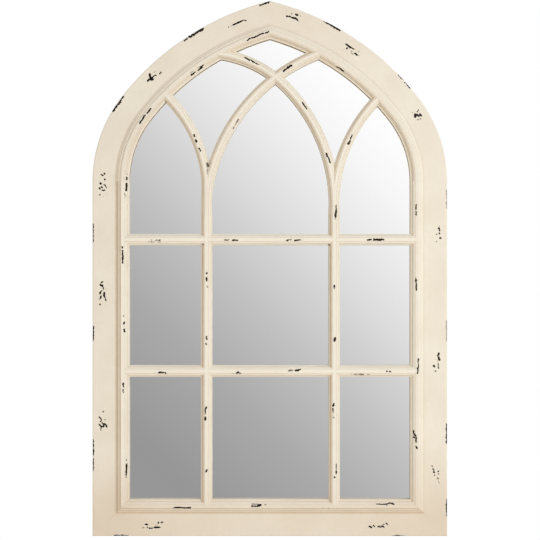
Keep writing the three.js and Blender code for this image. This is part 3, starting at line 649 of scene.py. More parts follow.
        (246.6, 171.1, 248, 170.7, 2.6, 0.7), (251.2, 154.3, 252.6, 151.5, 2.8, 1),
        (-165, 49.5, -162.6, 50, 2.1, 1), (-162.6, 50, -147.2, 50.2, 2.2, 0.95),
        (-147.2, 49.9, -137.1, 49.7, 2.6, 1), (-31.3, 52.4, -19.6, 52.4, 2.1, 1),
        (-31.6, 56.2, -19.3, 55.9, 1.5, 0.55), (-19.5, 53.8, -16.2, 54.2, 3.4, 1),
        (-8.3, 55.5, -7.3, 55.2, 1.9, 0.45), (183.3, 56.4, 189.5, 56, 1.7, 0.7),
        (191.2, 55.9, 200.5, 56.2, 1.9, 0.8), (200.5, 56.4, 206, 57.8, 2.1, 1),
        (206, 57.8, 213.2, 56, 2.1, 1), (200.7, 54.8, 201.3, 53.1, 1.9, 0.45),
        (90.8, 49.5, 92.8, 49.7, 1.7, 0.2), (100.4, 49.5, 101.7, 48.7, 1.9, 0.3),
        (114.1, 806.8, 120.3, 803.3, 1.5, 0.85), (120.6, 803, 126.1, 799.2, 2.2, 1),
        (221.4, 704.9, 221.7, 704.2, 1.2, 0.5), (238, 501.2, 240, 499.6, 2, 0.6),
    ],
    "bars": [
        (-42.6, 822.2, -38.1, 820, 1.9, 0.9), (-38.1, 819.6, -34.7, 817.7, 2.6, 1),
        (-31.3, 817, -28.2, 815, 2.4, 1), (-28.2, 814.6, -22.4, 811.2, 1.9, 0.9),
        (-21, 810.7, -18.3, 810.2, 1.4, 0.5), (23.2, 799, 30.1, 804.2, 2.6, 1),
        (30.1, 804.4, 36.6, 808.5, 3.3, 1), (56.1, 745, 59.6, 739.2, 2.1, 1),
        (59.6, 739.2, 63, 734.8, 2.2, 1), (96.9, 657.6, 98, 653.2, 2.6, 1),
        (98.7, 652.5, 101.1, 649.7, 1.9, 0.95), (101.1, 649, 103.5, 642.2, 2.1, 1),
        (141.2, 689.3, 138.4, 683, 1.9, 0.85), (137.2, 678.5, 134.5, 674.4, 2.8, 1),
        (-129.9, 689.3, -128.8, 686.4, 2.4, 0.95), (-126.9, 680.6, -125.9, 677.8, 2.8, 1),
        (-121.3, 666.4, -118.9, 662.2, 2.1, 1), (-107.1, 640.5, -106.7, 636, 2.8, 0.6),
        (-107.2, 634.3, -107.4, 623.3, 1.5, 0.4), (113.7, 568.5, 113.4, 564, 2.1, 0.5),
        (113.9, 561.4, 113.4, 554.6, 2.6, 0.9), (113.1, 555.4, 112.7, 549.3, 3.1, 1),
        (112.4, 547.5, 112.2, 545.1, 1.5, 0.4), (110.5, 431, 110.7, 428.6, 2.8, 1),
        (110.7, 426.9, 110.7, 425.5, 1.7, 0.6), (111.7, 341.1, 111, 336.7, 2.9, 1),
        (110.7, 335.3, 111, 334.8, 1.5, 0.5), (110.1, 228, 108.8, 224.9, 2.6, 1),
        (108.3, 220.1, 108.4, 217.7, 2.2, 0.85), (108.3, 216.7, 108.6, 213.3, 1.5, 0.6),
        (108.8, 204.9, 109.8, 204.5, 2.1, 0.45), (108.4, 209.8, 108.6, 207.8, 1, 0.2),
        (114.1, 124.8, 113.7, 114.9, 1.7, 0.6), (113.9, 112.5, 113.9, 108.7, 2.1, 0.75),
        (110.5, 102.5, 111, 102, 2.6, 1), (-108.8, 456.9, -108.6, 456.5, 1.4, 0.3),
        (-108.6, 452.7, -108.3, 452.1, 2.6, 0.85), (-108.9, 445, -108.4, 439.5, 2.4, 1),
        (-107.4, 430.3, -107.1, 429.4, 2.1, 0.45), (-108.9, 343.2, -108.3, 338.4, 2.2, 1),
        (-109.5, 331.5, -109.1, 330.2, 2.2, 0.7), (-108.9, 222.2, -110.1, 220.5, 2.6, 1),
        (-110.8, 219.4, -110.7, 214.3, 2.2, 1), (-111, 213.3, -110.7, 211.2, 1.5, 0.8),
        (-110.7, 205, -110.8, 200.9, 2.8, 1), (-107.7, 115.2, -109.6, 111.8, 2.4, 1),
        (-204.4, 509.1, -202.4, 509, 1.7, 0.3), (-195.5, 508.6, -192.8, 508.6, 1.9, 0.55),
        (-190.4, 508.8, -188.7, 508.8, 1.9, 0.65), (-208.5, 506.1, -207.5, 506.1, 1.9, 0.3),
        (-203.7, 505.5, -202.2, 505.4, 1.9, 0.4), (-198.6, 506.1, -197.6, 506.1, 1.7, 0.25),
        (-191.7, 505.7, -186.9, 505.4, 1.5, 0.3), (-76.9, 509, -72.4, 508.8, 2.2, 0.6),
        (-71.4, 509.8, -69.7, 509.8, 1.7, 0.45), (-63.7, 508.6, -62, 508.6, 2.6, 1),
        (-60.9, 508.6, -54.9, 508.6, 1.9, 0.75), (29.7, 508.8, 31.1, 508.8, 2.4, 0.75),
        (33.2, 509.5, 36.9, 509.7, 1.7, 0.5), (43.1, 508.5, 44.8, 508.5, 2.6, 1),
        (45.9, 508.6, 51, 509, 2.1, 0.75), (54.1, 509.1, 55.8, 509.1, 1.5, 0.25),
        (167.9, 508.8, 170.7, 510, 2.4, 0.9), (170.7, 510.2, 173.7, 509.8, 2.2, 0.9),
        (178.2, 509.8, 187.8, 510, 3.3, 1), (188.1, 508.6, 189.5, 508.5, 2.2, 0.9),
        (191.6, 510.2, 194.7, 509.5, 2.4, 0.95), (-190.4, 281.3, -189, 281.8, 2.4, 1),
        (-188.7, 282.2, -186.6, 281.8, 2.9, 1), (-184.9, 281.8, -182.5, 281.5, 2.4, 0.9),
        (-179.7, 281.8, -178.7, 280.8, 2.1, 0.8), (-197.9, 280.8, -196.2, 280.8, 1.2, 0.2),
        (-57, 280.8, -55.3, 282.2, 2.2, 0.95), (-55.3, 282.2, -53.9, 281.8, 2.6, 1),
        (-53.6, 281.3, -50.1, 280.5, 1.7, 0.6), (-64.9, 280.5, -59.7, 280.5, 1, 0.2),
        (32.5, 284.9, 35.2, 285.4, 2.2, 0.6), (36.6, 285.4, 39, 285.4, 1.9, 0.5),
        (44.1, 285.8, 48.3, 285.3, 3.1, 1), (48.3, 285.6, 52.4, 287.3, 1.9, 0.75),
        (200.5, 283.9, 201.2, 283.7, 2.4, 0.95), (205.8, 283.9, 206.7, 283.7, 2.4, 0.95),
        (139.5, 278.4, 140.8, 278.4, 1.5, 0.2), (145.3, 278.4, 149.1, 278.6, 2.1, 0.4),
        (153.2, 278.6, 155.2, 278.6, 1.9, 0.5), (156.6, 278.4, 160.4, 278.4, 2.1, 0.55),
        (167.9, 278.6, 170, 278.4, 1.9, 0.35), (-53.8, 716.2, -57.3, 710.4, 2, 0.55),
        (-57.3, 710.4, -60, 706.2, 1.5, 0.4), (-61.5, 702.9, -63, 700.6, 1.9, 0.5),
        (-115.6, 501.9, -113.6, 500.4, 1.6, 0.5), (100.9, 501.4, 103, 499.9, 1.8, 0.55),
        (171.9, 751, 171.1, 752.3, 1.7, 0.5), (184.4, 738.6, 185.5, 737.2, 1.7, 0.5),
        (-178.9, 745.6, -178.1, 747.4, 1.7, 0.5),
    ],
}

wearLook = {
    "chipDepth": 0.3,  # mm, thickness of the paint
    "chipEdge": (-0.1, 0.4),  # mm inside a stroke, where its floor starts and where it is full
    "reach": 3,  # mm round a stroke that still gets its value
    "search": 4,  # mm round a stroke that is looked through
    "fineStep": 1.2,
    "coarseStep": 9,
    "archStep": 3.5,
    "spareRows": 3,  # fine rows before and after a stroke
    "beside": 2,  # mm beside a section where a stroke still counts as on it
    "frontDepth": 17,  # only what stands in front of this is rubbed
    "edgeDepth": 23.6,  # depth of the outer arris
    "edgeSlope": 0.5,  # how fast a rubbed place fades down the edge
    "strength": 1.4,
    "wider": {"outerEdge": 1.6, "boards": 1.2, "moulding": 1.25, "bars": 1.28},
    "ragged": {"outerEdge": 0.75, "boards": 0.3, "moulding": 0.4, "bars": 0.35},
    "raggedSize": 2.4,  # mm
    "grain": (0.2, 0.9),  # height and size of a finer raggedness
}


def wearAt(points, groups):
    # for each point: mm inside a rubbed place, negative outside, and how bare it is
    look = wearLook
    inside = np.full(len(points), -look["reach"], float)
    bare = np.zeros(len(points))
    shows = points[:, 1] > look["frontDepth"]
    flat = points[:, ::2]
    for group in groups:
        for x0, z0, x1, z1, width, strength in wearStrokes[group]:
            width, strength = width * look["wider"][group], min(1, strength * look["strength"])
            low = np.array([min(x0, x1), min(z0, z1)]) - width - look["search"]
            high = np.array([max(x0, x1), max(z0, z1)]) + width + look["search"]
            near = np.nonzero(shows & (flat > low).all(1) & (flat < high).all(1))[0]
            if not len(near):
                continue
            span = np.array([x1 - x0, z1 - z0])
            share = np.clip(((flat[near] - (x0, z0)) @ span) / max(span @ span, 1e-6), 0, 1)
            away = np.hypot(*(flat[near] - (x0, z0) - share[:, None] * span).T)
            if group == "outerEdge":
                down = np.maximum(0, look["edgeDepth"] - points[near, 1])
                away = np.hypot(away, look["edgeSlope"] * down)
            value = width / 2 - away
            close = value > -look["reach"]
            for i, v in zip(near[close], value[close]):
                spot = Vector(points[i])
                v += look["ragged"][group] * width * noise.noise(spot / look["raggedSize"])
                v += look["grain"][0] * noise.noise(spot / look["grain"][1])
                if v > inside[i]:
                    inside[i], bare[i] = v, strength
    return inside, bare


def skin(name, grid, caps, loop=False):
    # a mesh over rows of points, in mm as x, depth and height; points that coincide become one
    rows, count = grid.shape[:2]
    points = grid.reshape(-1, 3)
    _, kept, index = np.unique(np.round(points, 5), axis=0, return_index=True, return_inverse=True)
    index = index.ravel()
    around = index.reshape(rows, count)
    following = np.roll(around, -1, 0) if loop else around[1:]
    here = around if loop else around[:-1]
    quads = np.stack([here, np.roll(here, -1, 1), np.roll(following, -1, 1), following], -1)
    faces = []
    for face in quads.reshape(-1, 4).tolist() + [[int(index[i]) for i in cap] for cap in caps]:
        corners = list(dict.fromkeys(face))
        if len(corners) > 2:
            faces.append(corners)
    mesh = bpy.data.meshes.new(name)
    mesh.from_pydata(toFrame(*points[kept].T).tolist(), [], faces)
    form = bmesh.new()
    form.from_mesh(mesh)
    bmesh.ops.recalc_face_normals(form, faces=form.faces)
    if form.calc_volume(signed=True) < 0:
        bmesh.ops.reverse_faces(form, faces=form.faces)
    form.to_mesh(mesh)
    form.free()
    mesh.shade_smooth()
    mesh.set_sharp_from_angle(angle=math.radians(50))
    return mesh, kept


def newPiece(name, mesh, body, material, node, place=(0, 0, 0), turn=0):
    piece = bpy.data.objects.new(name, mesh)
    bpy.context.scene.collection.objects.link(piece)
    piece.location = place
    piece.rotation_euler = (0, turn, 0)
    if not mesh.materials:
        mesh.materials.append(material)
    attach(piece, body)
    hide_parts(node)
    return piece


def endCaps(section, rows, halves=False):
    # both ends, as triangles; a bar that is split on its middle plane has each half on its own
    order = range(len(section))
    groups = [order]
    if halves:
        groups = [[i for i in order if side * section[i][0] >= -1e-6] for side in (1, -1)]
    last = (rows - 1) * len(section)
    caps = []
    for group in groups:
        outline = [Vector((*section[i], 0)) for i in group]
        for triangle in tessellate_polygon([outline]):
            a, b, c = (group[i] for i in triangle)
            caps += [(a, b, c), (last + c, last + b, last + a)]
    return caps


def turnedCaps(rows, sides):
    # the two flat ends of a turned piece
    last = (rows - 1) * sides
    return [tuple(range(sides)), tuple(range(last + sides - 1, last - 1, -1))]


def stations(run, middle, start, end, groups, halfSpan, step):
    # where a row of points goes: close together near worn places; and mm for each unit of the run
    margin = wearLook["spareRows"]
    probe = np.linspace(start, end, 400)
    x, height = run(middle, probe)
    length = np.hypot(np.diff(x), np.diff(height)).sum()
    count = max(8, int(length / wearLook["fineStep"]))
    places = np.linspace(start, end, count + 1)
    x, height = run(middle, places)
    busy = np.zeros(count + 1, bool)
    for group in groups:
        for x0, z0, x1, z1, width, strength in wearStrokes[group]:
            ends = []
            for px, pz in ((x0, z0), (x1, z1)):
                away = np.hypot(x - px, height - pz)
                if away.min() < halfSpan + wearLook["beside"]:
                    ends.append(int(away.argmin()))
            if ends:
                busy[max(0, min(ends) - margin):max(ends) + margin + 1] = True
    every = max(1, round(step / wearLook["fineStep"]))
    keep = busy | (np.arange(count + 1) % every == 0)
    return places[keep], length / (end - start)


endRows = [0, 0.35, 0.9, 1.8]  # mm from each cut


def rowsAlong(start, end, places, perUnit, halves):
    # every line starts and ends at its own cut; between the cuts all lines share the same rows
    near = np.array(endRows) / perUnit
    first = [start] if halves else [start + offset for offset in near]
    last = [end - offset for offset in near[::-1]]
    middle = np.clip(places[:, None], first[-1], last[0])
    return np.vstack([*first, middle, *last])


def glazeAndShadingAt(section, glazeAndShadingPlaces):
    # how much glaze each point of a section gets, with painted shade; below 0 it is wiped off and polished,
    # with painted light on some faces, at 2 painted shade of stain. A place: across, depth, reach, amount
    amount = np.zeros(len(section))
    for across, depth, reach, most in glazeAndShadingPlaces:
        away = np.hypot(section[:, 0] - across, section[:, 1] - depth) / reach
        here = most * np.clip(1 - away, 0, 1) ** 1.3
        amount = np.where(np.abs(here) > np.abs(amount), here, amount)
    return amount


def woodPiece(name, section, run, reach, room, seed, groups, glazeAndShadingPlaces, jointLine=0, halves=False, step=None):
    # a length of a section along its run, cut to its room, with its chips, glaze, painted shade and
    # painted light, and brush marks
    start, end = lineEnds(section, run, reach, room, seed)
    middle = section[:, 0].mean()
    nearest = np.abs(section[:, 0] - middle).argmin()
    halfSpan = np.ptp(section[:, 0]) / 2
    places, perUnit = stations(
        run, section[nearest, 0], start.min(), end.max(), groups, halfSpan, step or wearLook["coarseStep"])
    along = rowsAlong(start, end, places, perUnit, halves)
    x, height = run(section[:, 0], along)
    depth = np.broadcast_to(section[:, 1], x.shape)
    grid = np.stack([x, depth, height], -1)
    mesh, kept = skin(name, grid, endCaps(section, len(along), halves))
    points = grid.reshape(-1, 3)[kept]
    inside, bare = wearAt(points, groups)
    # glaze, painted shade and painted light at each point
    glaze = np.broadcast_to(glazeAndShadingAt(section, glazeAndShadingPlaces), x.shape)
    if jointLine:
        # the joint shows as a fine line, and less towards the outer edge
        toEnd = np.minimum(along - start, end - along) * perUnit
        shown = jointLine * np.interp(section[:, 0], glazeAndShadingLook["jointShows"], (0, 1))
        glaze = np.maximum(glaze, shown * np.clip(1 - toEnd / glazeAndShadingLook["jointWidth"], 0, 1))
    # chips are lower than the paint round them
    edge, floor = wearLook["chipEdge"]
    sink = wearLook["chipDepth"] * bare * np.clip((inside - edge) / (floor - edge), 0, 1) / 1000
    normals, places = np.zeros((2, len(points) * 3))
    mesh.vertex_normals.foreach_get("vector", normals)
    mesh.vertices.foreach_get("co", places)
    mesh.vertices.foreach_set("co", places - normals * np.repeat(sink, 3))
    # brush marks follow the run and the girth, and start at another place on each piece
    girth = np.concatenate([[0], np.hypot(*np.diff(section, axis=0).T).cumsum()])
    offset = (sum(map(ord, name)) % 37) * 11.0
    brushed = np.stack([along * perUnit, np.broadcast_to(girth, x.shape) + offset, 0 * x + offset], -1)
    for title, kind, part, values in (
        ("wear", "FLOAT", "value", inside), ("bare", "FLOAT", "value", bare),
        ("glaze", "FLOAT", "value", glaze.ravel()[kept]),
        ("run", "FLOAT_VECTOR", "vector", brushed.reshape(-1, 3)[kept]),
    ):
        layer = mesh.attributes.new(title, kind, "POINT")
        layer.data.foreach_set(part, values.astype(np.float32).ravel())
    mesh.update()
    return newPiece(f"{name}_painted", mesh, "mirror", paint, name)


def bareBack(piece, depth):
    # the back faces of the boards are bare wood
    piece.data.materials.append(finishes["pine_planed"])
    limit = -(depth + 0.02) / 1000
    for face in piece.data.polygons:
        if face.center.y > limit and face.normal.y > 0.7:
            face.material_index = 1


# grooves that hold glaze, and faces given painted shade and painted light: across, depth, reach and
# amount; below 0 a place that is wiped and on some faces painted light, and at 2 painted shade of stain
mouldingGrooves = [(55.4, 32.9, 0.9, 0.25), (60.2, 27.6, 1.3, 0.3)]
glazeAndShadingLook = {
    "boards": [(39.9, 25, 2.2, 0.3)],
    # left: painted shade on the foot and riser, which face away from the light, and painted light on the
    # crest
    "left": mouldingGrooves + [
        (42.4, 27.3, 3.6, 0.68), (46, 30.2, 2, 0.3), (48.8, 31.8, 2.2, 0.55), (52.5, 33.5, 4.2, -0.8),
        (63.4, 18, 7, 0.1)],
    # bottom: painted shade on the foot and riser, which face down, and painted light on the ovolo, which
    # faces up
    "bottom": mouldingGrooves + [
        (40.2, 25.8, 3, 0.6), (45.4, 30.2, 4.2, 0.22), (48.8, 31.8, 2.2, 0.25), (57.8, 31, 3.6, -0.45),
        (63.4, 18, 7, 0.1)],
    # right: painted light on the ovolo, turned from the light, and painted shade of stain on the deep wall
    "right": mouldingGrooves + [(40.3, 26, 2.4, 0.25), (57.8, 31, 3.6, -0.8), (63.4, 16, 7, 2)],
    # arch: painted shade on the ovolo, which faces down, and of stain on the deep wall
    "arch": mouldingGrooves + [
        (40.3, 26, 2.4, 0.3), (48.2, 31, 1.6, 0.2), (57.8, 31, 3.6, 0.35), (63.4, 16, 7, 2)],
    "jointShows": (24, 38),  # from the outer edge, where a mitre line starts to show and shows fully
    "jointWidth": 1.2,
}

# the boards are drawn finely as far as the moulding covers them, and the rest all over
shownBoard, shownAll = 40.5, 70
boards = divided(softened(boardSection(), frameSizes["softness"]), surfaceStep(shownBoard))
moulding = divided(softened(mouldingSection(), frameSizes["softness"]), surfaceStep(shownAll))
mitre = jointGap * math.sqrt(2)


def stileRoom(x, height, depth):
    return np.minimum(height - (halfWidth - np.abs(x)) - mitre, springHeight - jointGap - height)


def railRoom(x, height, depth):
    return halfWidth - np.abs(x) - height - mitre


def archRoom(side):
    def room(x, height, depth):
        free = np.minimum(side * x, height - springHeight) - jointGap
        return np.minimum(free, frameSizes["peak"] - height)
    return room


# run, reach, room, a place in the middle, row step, and glaze in the mitres (bottom left shows most)
lengths = {
    "rail_bottom": (railRun, (-halfWidth, halfWidth), railRoom, 0, None, 0.45),
}
for word, side in (("left", -1), ("right", 1)):
    lengths[f"stile_{word}"] = (stileRun(side), (0, springHeight), stileRoom, 300, None, 0)
    lengths[f"arch_{word}"] = (archRun(side), (0, 80), archRoom(side), 40, wearLook["archStep"], 0)

for name, (run, reach, room, seed, step, jointLine) in lengths.items():
    board = woodPiece(f"frame_{name}", boards, run, reach, room, seed, ["outerEdge", "boards"],
                      glazeAndShadingLook["boards"], jointLine=jointLine, step=step)
    bareBack(board, frameSizes["shelfDepth"])
    word = name.replace("stile_", "").replace("rail_", "")
    woodPiece(f"moulding_{word}", moulding, run, reach, room, seed, ["moulding"],
              glazeAndShadingLook["arch" if "arch" in word else word], jointLine=jointLine, step=step)
print("frame boards and moulding made")

# half widths at each depth of the pieces that the bars are let into or fitted over
overMoulding = edgeLine(sticking(mouldingSizes["crestEnd"], mouldingSizes["ovolo"], mouldingSizes["lip"]))
overBar, overCurve = (edgeLine(sticking(barSizes[crest], barSizes["ovolo"], barSizes["lip"]))
                      for crest in ("crest", "curveCrest"))
straightBar, curvedBar = (
    divided(softened(barSection(barSizes[crest]), frameSizes["softness"]), surfaceStep(shownAll))
    for crest in ("crest", "curveCrest"))


def barGlazeAndShading(crest, awaySideShading, side=-1):
    # grooves as on the moulding, with painted shade and painted light: the second number paints the ovolo
    # of the side that is turned away from the light, darker above 0 as painted shade and lighter below 0 as
    # painted light; when side is below 0 the deep wall of the negative side gets painted shade of stain
    return [
        (crest + 0.4, 32.9, 0.9, 0.4), (-crest - 0.4, 32.9, 0.9, 0.4), (crest + 4.5, 27.6, 1.3, 0.3),
        (-crest - 4.5, 27.6, 1.3, 0.3), (side * (crest + 2.6), 31, 3.6, awaySideShading),
        (-crest - barEdge, 16, 7, 2 if side < 0 else 0.1), (crest + barEdge, 16, 7, 0.1),
        (0, 33.5, crest * 2, -0.5),
    ]


def insideMoulding(x, height, depth):
    return insetAt(x, height) - overMoulding(depth) - barSizes["fit"]


def underCurves(x, height, depth):
    return np.minimum(insideMoulding(x, height, depth), curveSizes["foot"] - jointGap - height)


def betweenUprights(x, height, depth):
    room = insideMoulding(x, height, depth)
    for place in barSizes["uprights"]:
        room = np.minimum(room, np.abs(x - place) - overBar(depth) - barSizes["fit"])
    return room


# the number before the group of strokes is a place in the middle of the bar
# uprights get painted shade on the ovolo of their left side, and level bars painted light on their undersides
for word, x in zip(("left", "right"), barSizes["uprights"]):
    woodPiece(f"bar_upright_{word}", straightBar, uprightRun(x), (0, springHeight), underCurves, 300,
              ["bars"], barGlazeAndShading(barSizes["crest"], 0.65))
for row, height in barSizes["rows"].items():
    for word, seed in (("left", -175), ("middle", 0), ("right", 175)):
        woodPiece(f"bar_{row}_{word}", straightBar, levelRun(height), (-halfWidth, halfWidth),
                  betweenUprights, seed, ["bars"], barGlazeAndShading(barSizes["crest"], -0.95))


def fromLongCurve(x, height, depth, side):
    # free distance to the upper arc of the unbroken curved bar, from its outer or inner side
    long = curveSizes["curves"]["left_long"]
    turn = math.radians(long["turn"])
    shift = long["far"] - long["near"]
    centreX = long["x"] + long["near"] + shift * math.cos(turn)
    centreHeight = springHeight - long["drop"] - shift * math.sin(turn)
    away = np.hypot(x - centreX, height - centreHeight) - long["far"]
    return side * away - overCurve(depth) - barSizes["fit"]


def curveRoom(curve, crossing=0, coped=False):
    def room(x, height, depth):
        free = curve["bend"] * (x - curve["x"])
        if coped:  # where the long bar has already bent away, this one is fitted against it
            free = np.maximum(free, fromLongCurve(x, height, depth, 1))
        free = np.minimum(free, insideMoulding(x, height, depth))
        free = np.minimum(free, height - curveSizes["foot"] - jointGap)
        if crossing:
            free = np.minimum(free, fromLongCurve(x, height, depth, crossing))
        return free
    return room


# curved bars get painted shade on the ovolo of one side, and those with a bend of -1 also on the deep wall of
# their concave side
# name, a place in the middle, and the side of the unbroken bar that this one keeps to
for name, seed, crossing in (("left_short", 150, 0), ("left_long", 180, 0), ("right_short", 170, 0),
                             ("right_long_lower", 150, -1), ("right_long_upper", 320, 1)):
    curve = curveSizes["curves"][name.replace("_lower", "").replace("_upper", "")]
    room = curveRoom(curve, crossing, coped=name == "left_short")
    woodPiece(f"curve_{name}", curvedBar, curveRun(curve), (0, curveSizes["reach"]), room, seed, ["bars"],
              barGlazeAndShading(barSizes["curveCrest"], 0.35, curve["bend"]), halves=True, step=wearLook["archStep"])
print("glazing bars made")

# strap hangers at the back, each with a ring of bent wire
hangerSizes = {
    "x": 284.3,
    "depth": 3.9,  # axis of the ring
    "height": 600,
    "wire": 1.5,
    "wireSides": 16,
    "leg": 4,
    "ringRadius": 12.5,  # centre line of the half circle
    "ringCorner": 3,
    "strapWidth": 14,
    "strapThickness": 1,
    "strapLength": 45,
    "loopRadius": 2.3,  # middle of the strap's thickness round the wire
    "loopEnd": 208,  # degrees round the wire from the top
    "loopSteps": 34,
    "corner": 0.22,  # bevel of the strap's edges
    "endRound": 4,
    "legRows": (0.05, 0.3, 0.8, 1.6, 2.8, 4, 7, 15, 21, 24, 27, 33, 36, 39, 41, 45),  # up from the end
    "screwDrops": (24, 36),
    "screwHole": 1.9,
    "drillLength": 10,
}


def ringMesh(side):
    size = hangerSizes
    line = []
    for x, drop, radius, first, last, steps in (
        (size["ringRadius"] - size["ringCorner"], size["ringCorner"], size["ringCorner"], 90, 0, 8),
        (0, size["leg"], size["ringRadius"], 0, -180, 48),
        (size["ringCorner"] - size["ringRadius"], size["ringCorner"], size["ringCorner"], 180, 90, 8),
    ):
        for angle in np.radians(np.linspace(first, last, steps + 1)):
            out = (math.cos(angle), math.sin(angle))
            line.append((x + radius * out[0], radius * out[1] - drop, *out))
    line = np.array(line)
    around = np.radians((np.arange(size["wireSides"]) + 0.5) * 360 / size["wireSides"])
    out = size["wire"] * np.cos(around)
    x = side * size["x"] + line[:, :1] + out * line[:, 2:3]
    height = size["height"] + line[:, 1:2] + out * line[:, 3:4]
    depth = np.broadcast_to(size["depth"] + size["wire"] * np.sin(around), x.shape)
    return skin(f"ring_{side}", np.stack([x, depth, height], -1), [], loop=True)[0]


def strapMesh(side):
    size = hangerSizes
    half, corner, endRound = size["strapThickness"] / 2, size["corner"], size["endRound"]
    # up the flat leg and round the wire: drop or rise, depth, outward direction, half width
    path = []
    for up in size["legRows"]:
        rise = min(up, endRound)
        wide = size["strapWidth"] / 2 - endRound + math.sqrt(max(0, 2 * endRound * rise - rise * rise))
        path.append((up - size["strapLength"], size["depth"] + size["loopRadius"], 0, 1, wide))
    for angle in np.radians(np.linspace(-90, size["loopEnd"], size["loopSteps"])[1:]):
        up, out = math.cos(angle), -math.sin(angle)
        path.append((size["loopRadius"] * up, size["depth"] + size["loopRadius"] * out, up, out,
                     size["strapWidth"] / 2))
    up, depth, outUp, outDepth, wide = np.array(path).T[:, :, None]
    edge = np.array([(-1, -half + corner, 0), (-1, half - corner, 0), (-1, half, corner), (1, half, -corner),
                     (1, half - corner, 0), (1, -half + corner, 0), (1, -half, -corner), (-1, -half, corner)])
    x = side * size["x"] + edge[:, 0] * wide + edge[:, 2]
    height = size["height"] + up + outUp * edge[:, 1]
    deep = depth + outDepth * edge[:, 1]
    caps = endCaps([(a[0] + a[2], a[1]) for a in edge], len(path))
    return skin(f"strap_{side}", np.stack([x, deep, height], -1), caps)[0]


def turnedGrid(profile, sides):
    # rows round an axis that runs forwards: radius and depth from the start
    around = np.radians(np.arange(sides) * 360 / sides)
    radius, depth = np.array(profile).T[:, :, None]
    return radius * np.cos(around), np.broadcast_to(depth, (len(profile), sides)), radius * np.sin(around)


def bored(piece, places, size, sides=32):
    # holes through a piece, cut as a drill would
    radius, length = size["screwHole"], size["drillLength"]
    for x, height in places:
        grid = np.stack(turnedGrid([(radius, 0), (radius, length)], sides), -1) + (x, 0, height)
        tool = bpy.data.objects.new("drill", skin("drill", grid, turnedCaps(2, sides))[0])
        bpy.context.scene.collection.objects.link(tool)
        cut = piece.modifiers.new("bore", "BOOLEAN")
        cut.object, cut.operation, cut.solver = tool, "DIFFERENCE", "EXACT"
        drilled = bpy.data.meshes.new_from_object(piece.evaluated_get(bpy.context.evaluated_depsgraph_get()))
        piece.modifiers.clear()
        piece.data = drilled
        bpy.data.objects.remove(tool)
    piece.data.shade_smooth()
    piece.data.set_sharp_from_angle(angle=math.radians(40))


zinc = finishes["steel_zinc_plated"]
for word, side in (("left", -1), ("right", 1)):
    newPiece(f"hanger_ring_{word}_wire", ringMesh(side), f"ring_{word}", zinc,
             f"hanger_ring_{word}")
    strap = newPiece(f"hanger_strap_{word}_plate", strapMesh(side), "mirror", zinc,
                     f"hanger_strap_{word}")
    holes = [(side * hangerSizes["x"], hangerSizes["height"] - drop) for drop in hangerSizes["screwDrops"]]
    bored(strap, holes, hangerSizes)
print("hangers made")

# domed screws with a cross recess
screwSizes = {
    "head": 3.5,
    "rim": 0.7,
    "rimBevel": 0.12,
    "crown": 1.8,
    "crownRadii": [0.01, 0.22, 0.44, 0.66, 0.88, 1.1, 1.32, 1.54, 1.76, 2.0, 2.4, 2.8, 3.15, 3.4],
    "shank": 1.6,
    "point": 4,
    "pointShare": 0.55,  # of the shank's radius, halfway down the point
    "recessReach": 1.75,
    "recessWidth": 0.5,
    "recessDepth": 1.0,
    "recessWall": 0.15,
    "recessEnd": 0.3,
    "recessTaper": 1.3,
    "sides": 32,
    "lengths": {"backing": 12, "hanger": 14},
    "faces": {"backing": 7, "hanger": 5.7},  # depth of what the heads bear on
    "seat": 0.3,  # from the face it bears on to the head
    "backing": [(120, 48.4), (256.6, 150), (256.6, 330), (256.6, 510), (245.3, 674.2), (115.3, 818.6)],
    "turnSeed": 12,
}


def screwMesh(length):
    # the head is at negative depths, and the shank runs forwards from 0
    size = screwSizes
    head, rim, shank, bevel = size["head"], size["rim"], size["shank"], size["rimBevel"]
    profile = [(r, -rim - (size["crown"] - rim) * math.sqrt(1 - (r / head) ** 2)) for r in size["crownRadii"]]
    profile += [(head, -rim), (head, -bevel), (head - bevel, 0), (shank, 0), (shank, length - size["point"]),
                (shank * size["pointShare"], length - size["point"] * 0.5), (0.01, length)]
    x, depth, height = turnedGrid(profile, size["sides"])
    arm = np.minimum(np.abs(x), np.abs(height))
    reach = np.maximum(np.abs(x), np.abs(height))
    into = np.clip((size["recessWidth"] - arm) / size["recessWall"], 0, 1)
    into *= np.clip((size["recessReach"] - reach) / size["recessEnd"], 0, 1)
    into[len(size["crownRadii"]):] = 0
    taper = np.clip(size["recessTaper"] - reach / size["recessReach"], 0, 1)
    depth = depth + size["recessDepth"] * into * taper
    grid = np.stack([x, depth, height], -1)
    mesh = skin(f"screw_{length}", grid, turnedCaps(len(profile), size["sides"]))[0]
    mesh.transform(Matrix.Translation((0, 0, hookHeight / 1000)))
    return mesh


screwPlaces = {
    "backing": [(side * x, height) for side in (-1, 1) for x, height in screwSizes["backing"]],
    "hanger": [(side * hangerSizes["x"], hangerSizes["height"] - drop)
               for side in (-1, 1) for drop in hangerSizes["screwDrops"]],
}
random.seed(screwSizes["turnSeed"])
for kind, places in screwPlaces.items():
    mesh = screwMesh(screwSizes["lengths"][kind])
    depth = screwSizes["faces"][kind] - screwSizes["seat"]
    for number, (x, height) in enumerate(places, 1):
        # driven home, so the recesses stand at any angle
        newPiece(f"{kind}_screw_{number}_steel", mesh, "mirror", zinc, f"{kind}_screw_{number}",
                 place=toFrame(x, depth, height), turn=random.uniform(0, math.pi / 2))
print("screws made")

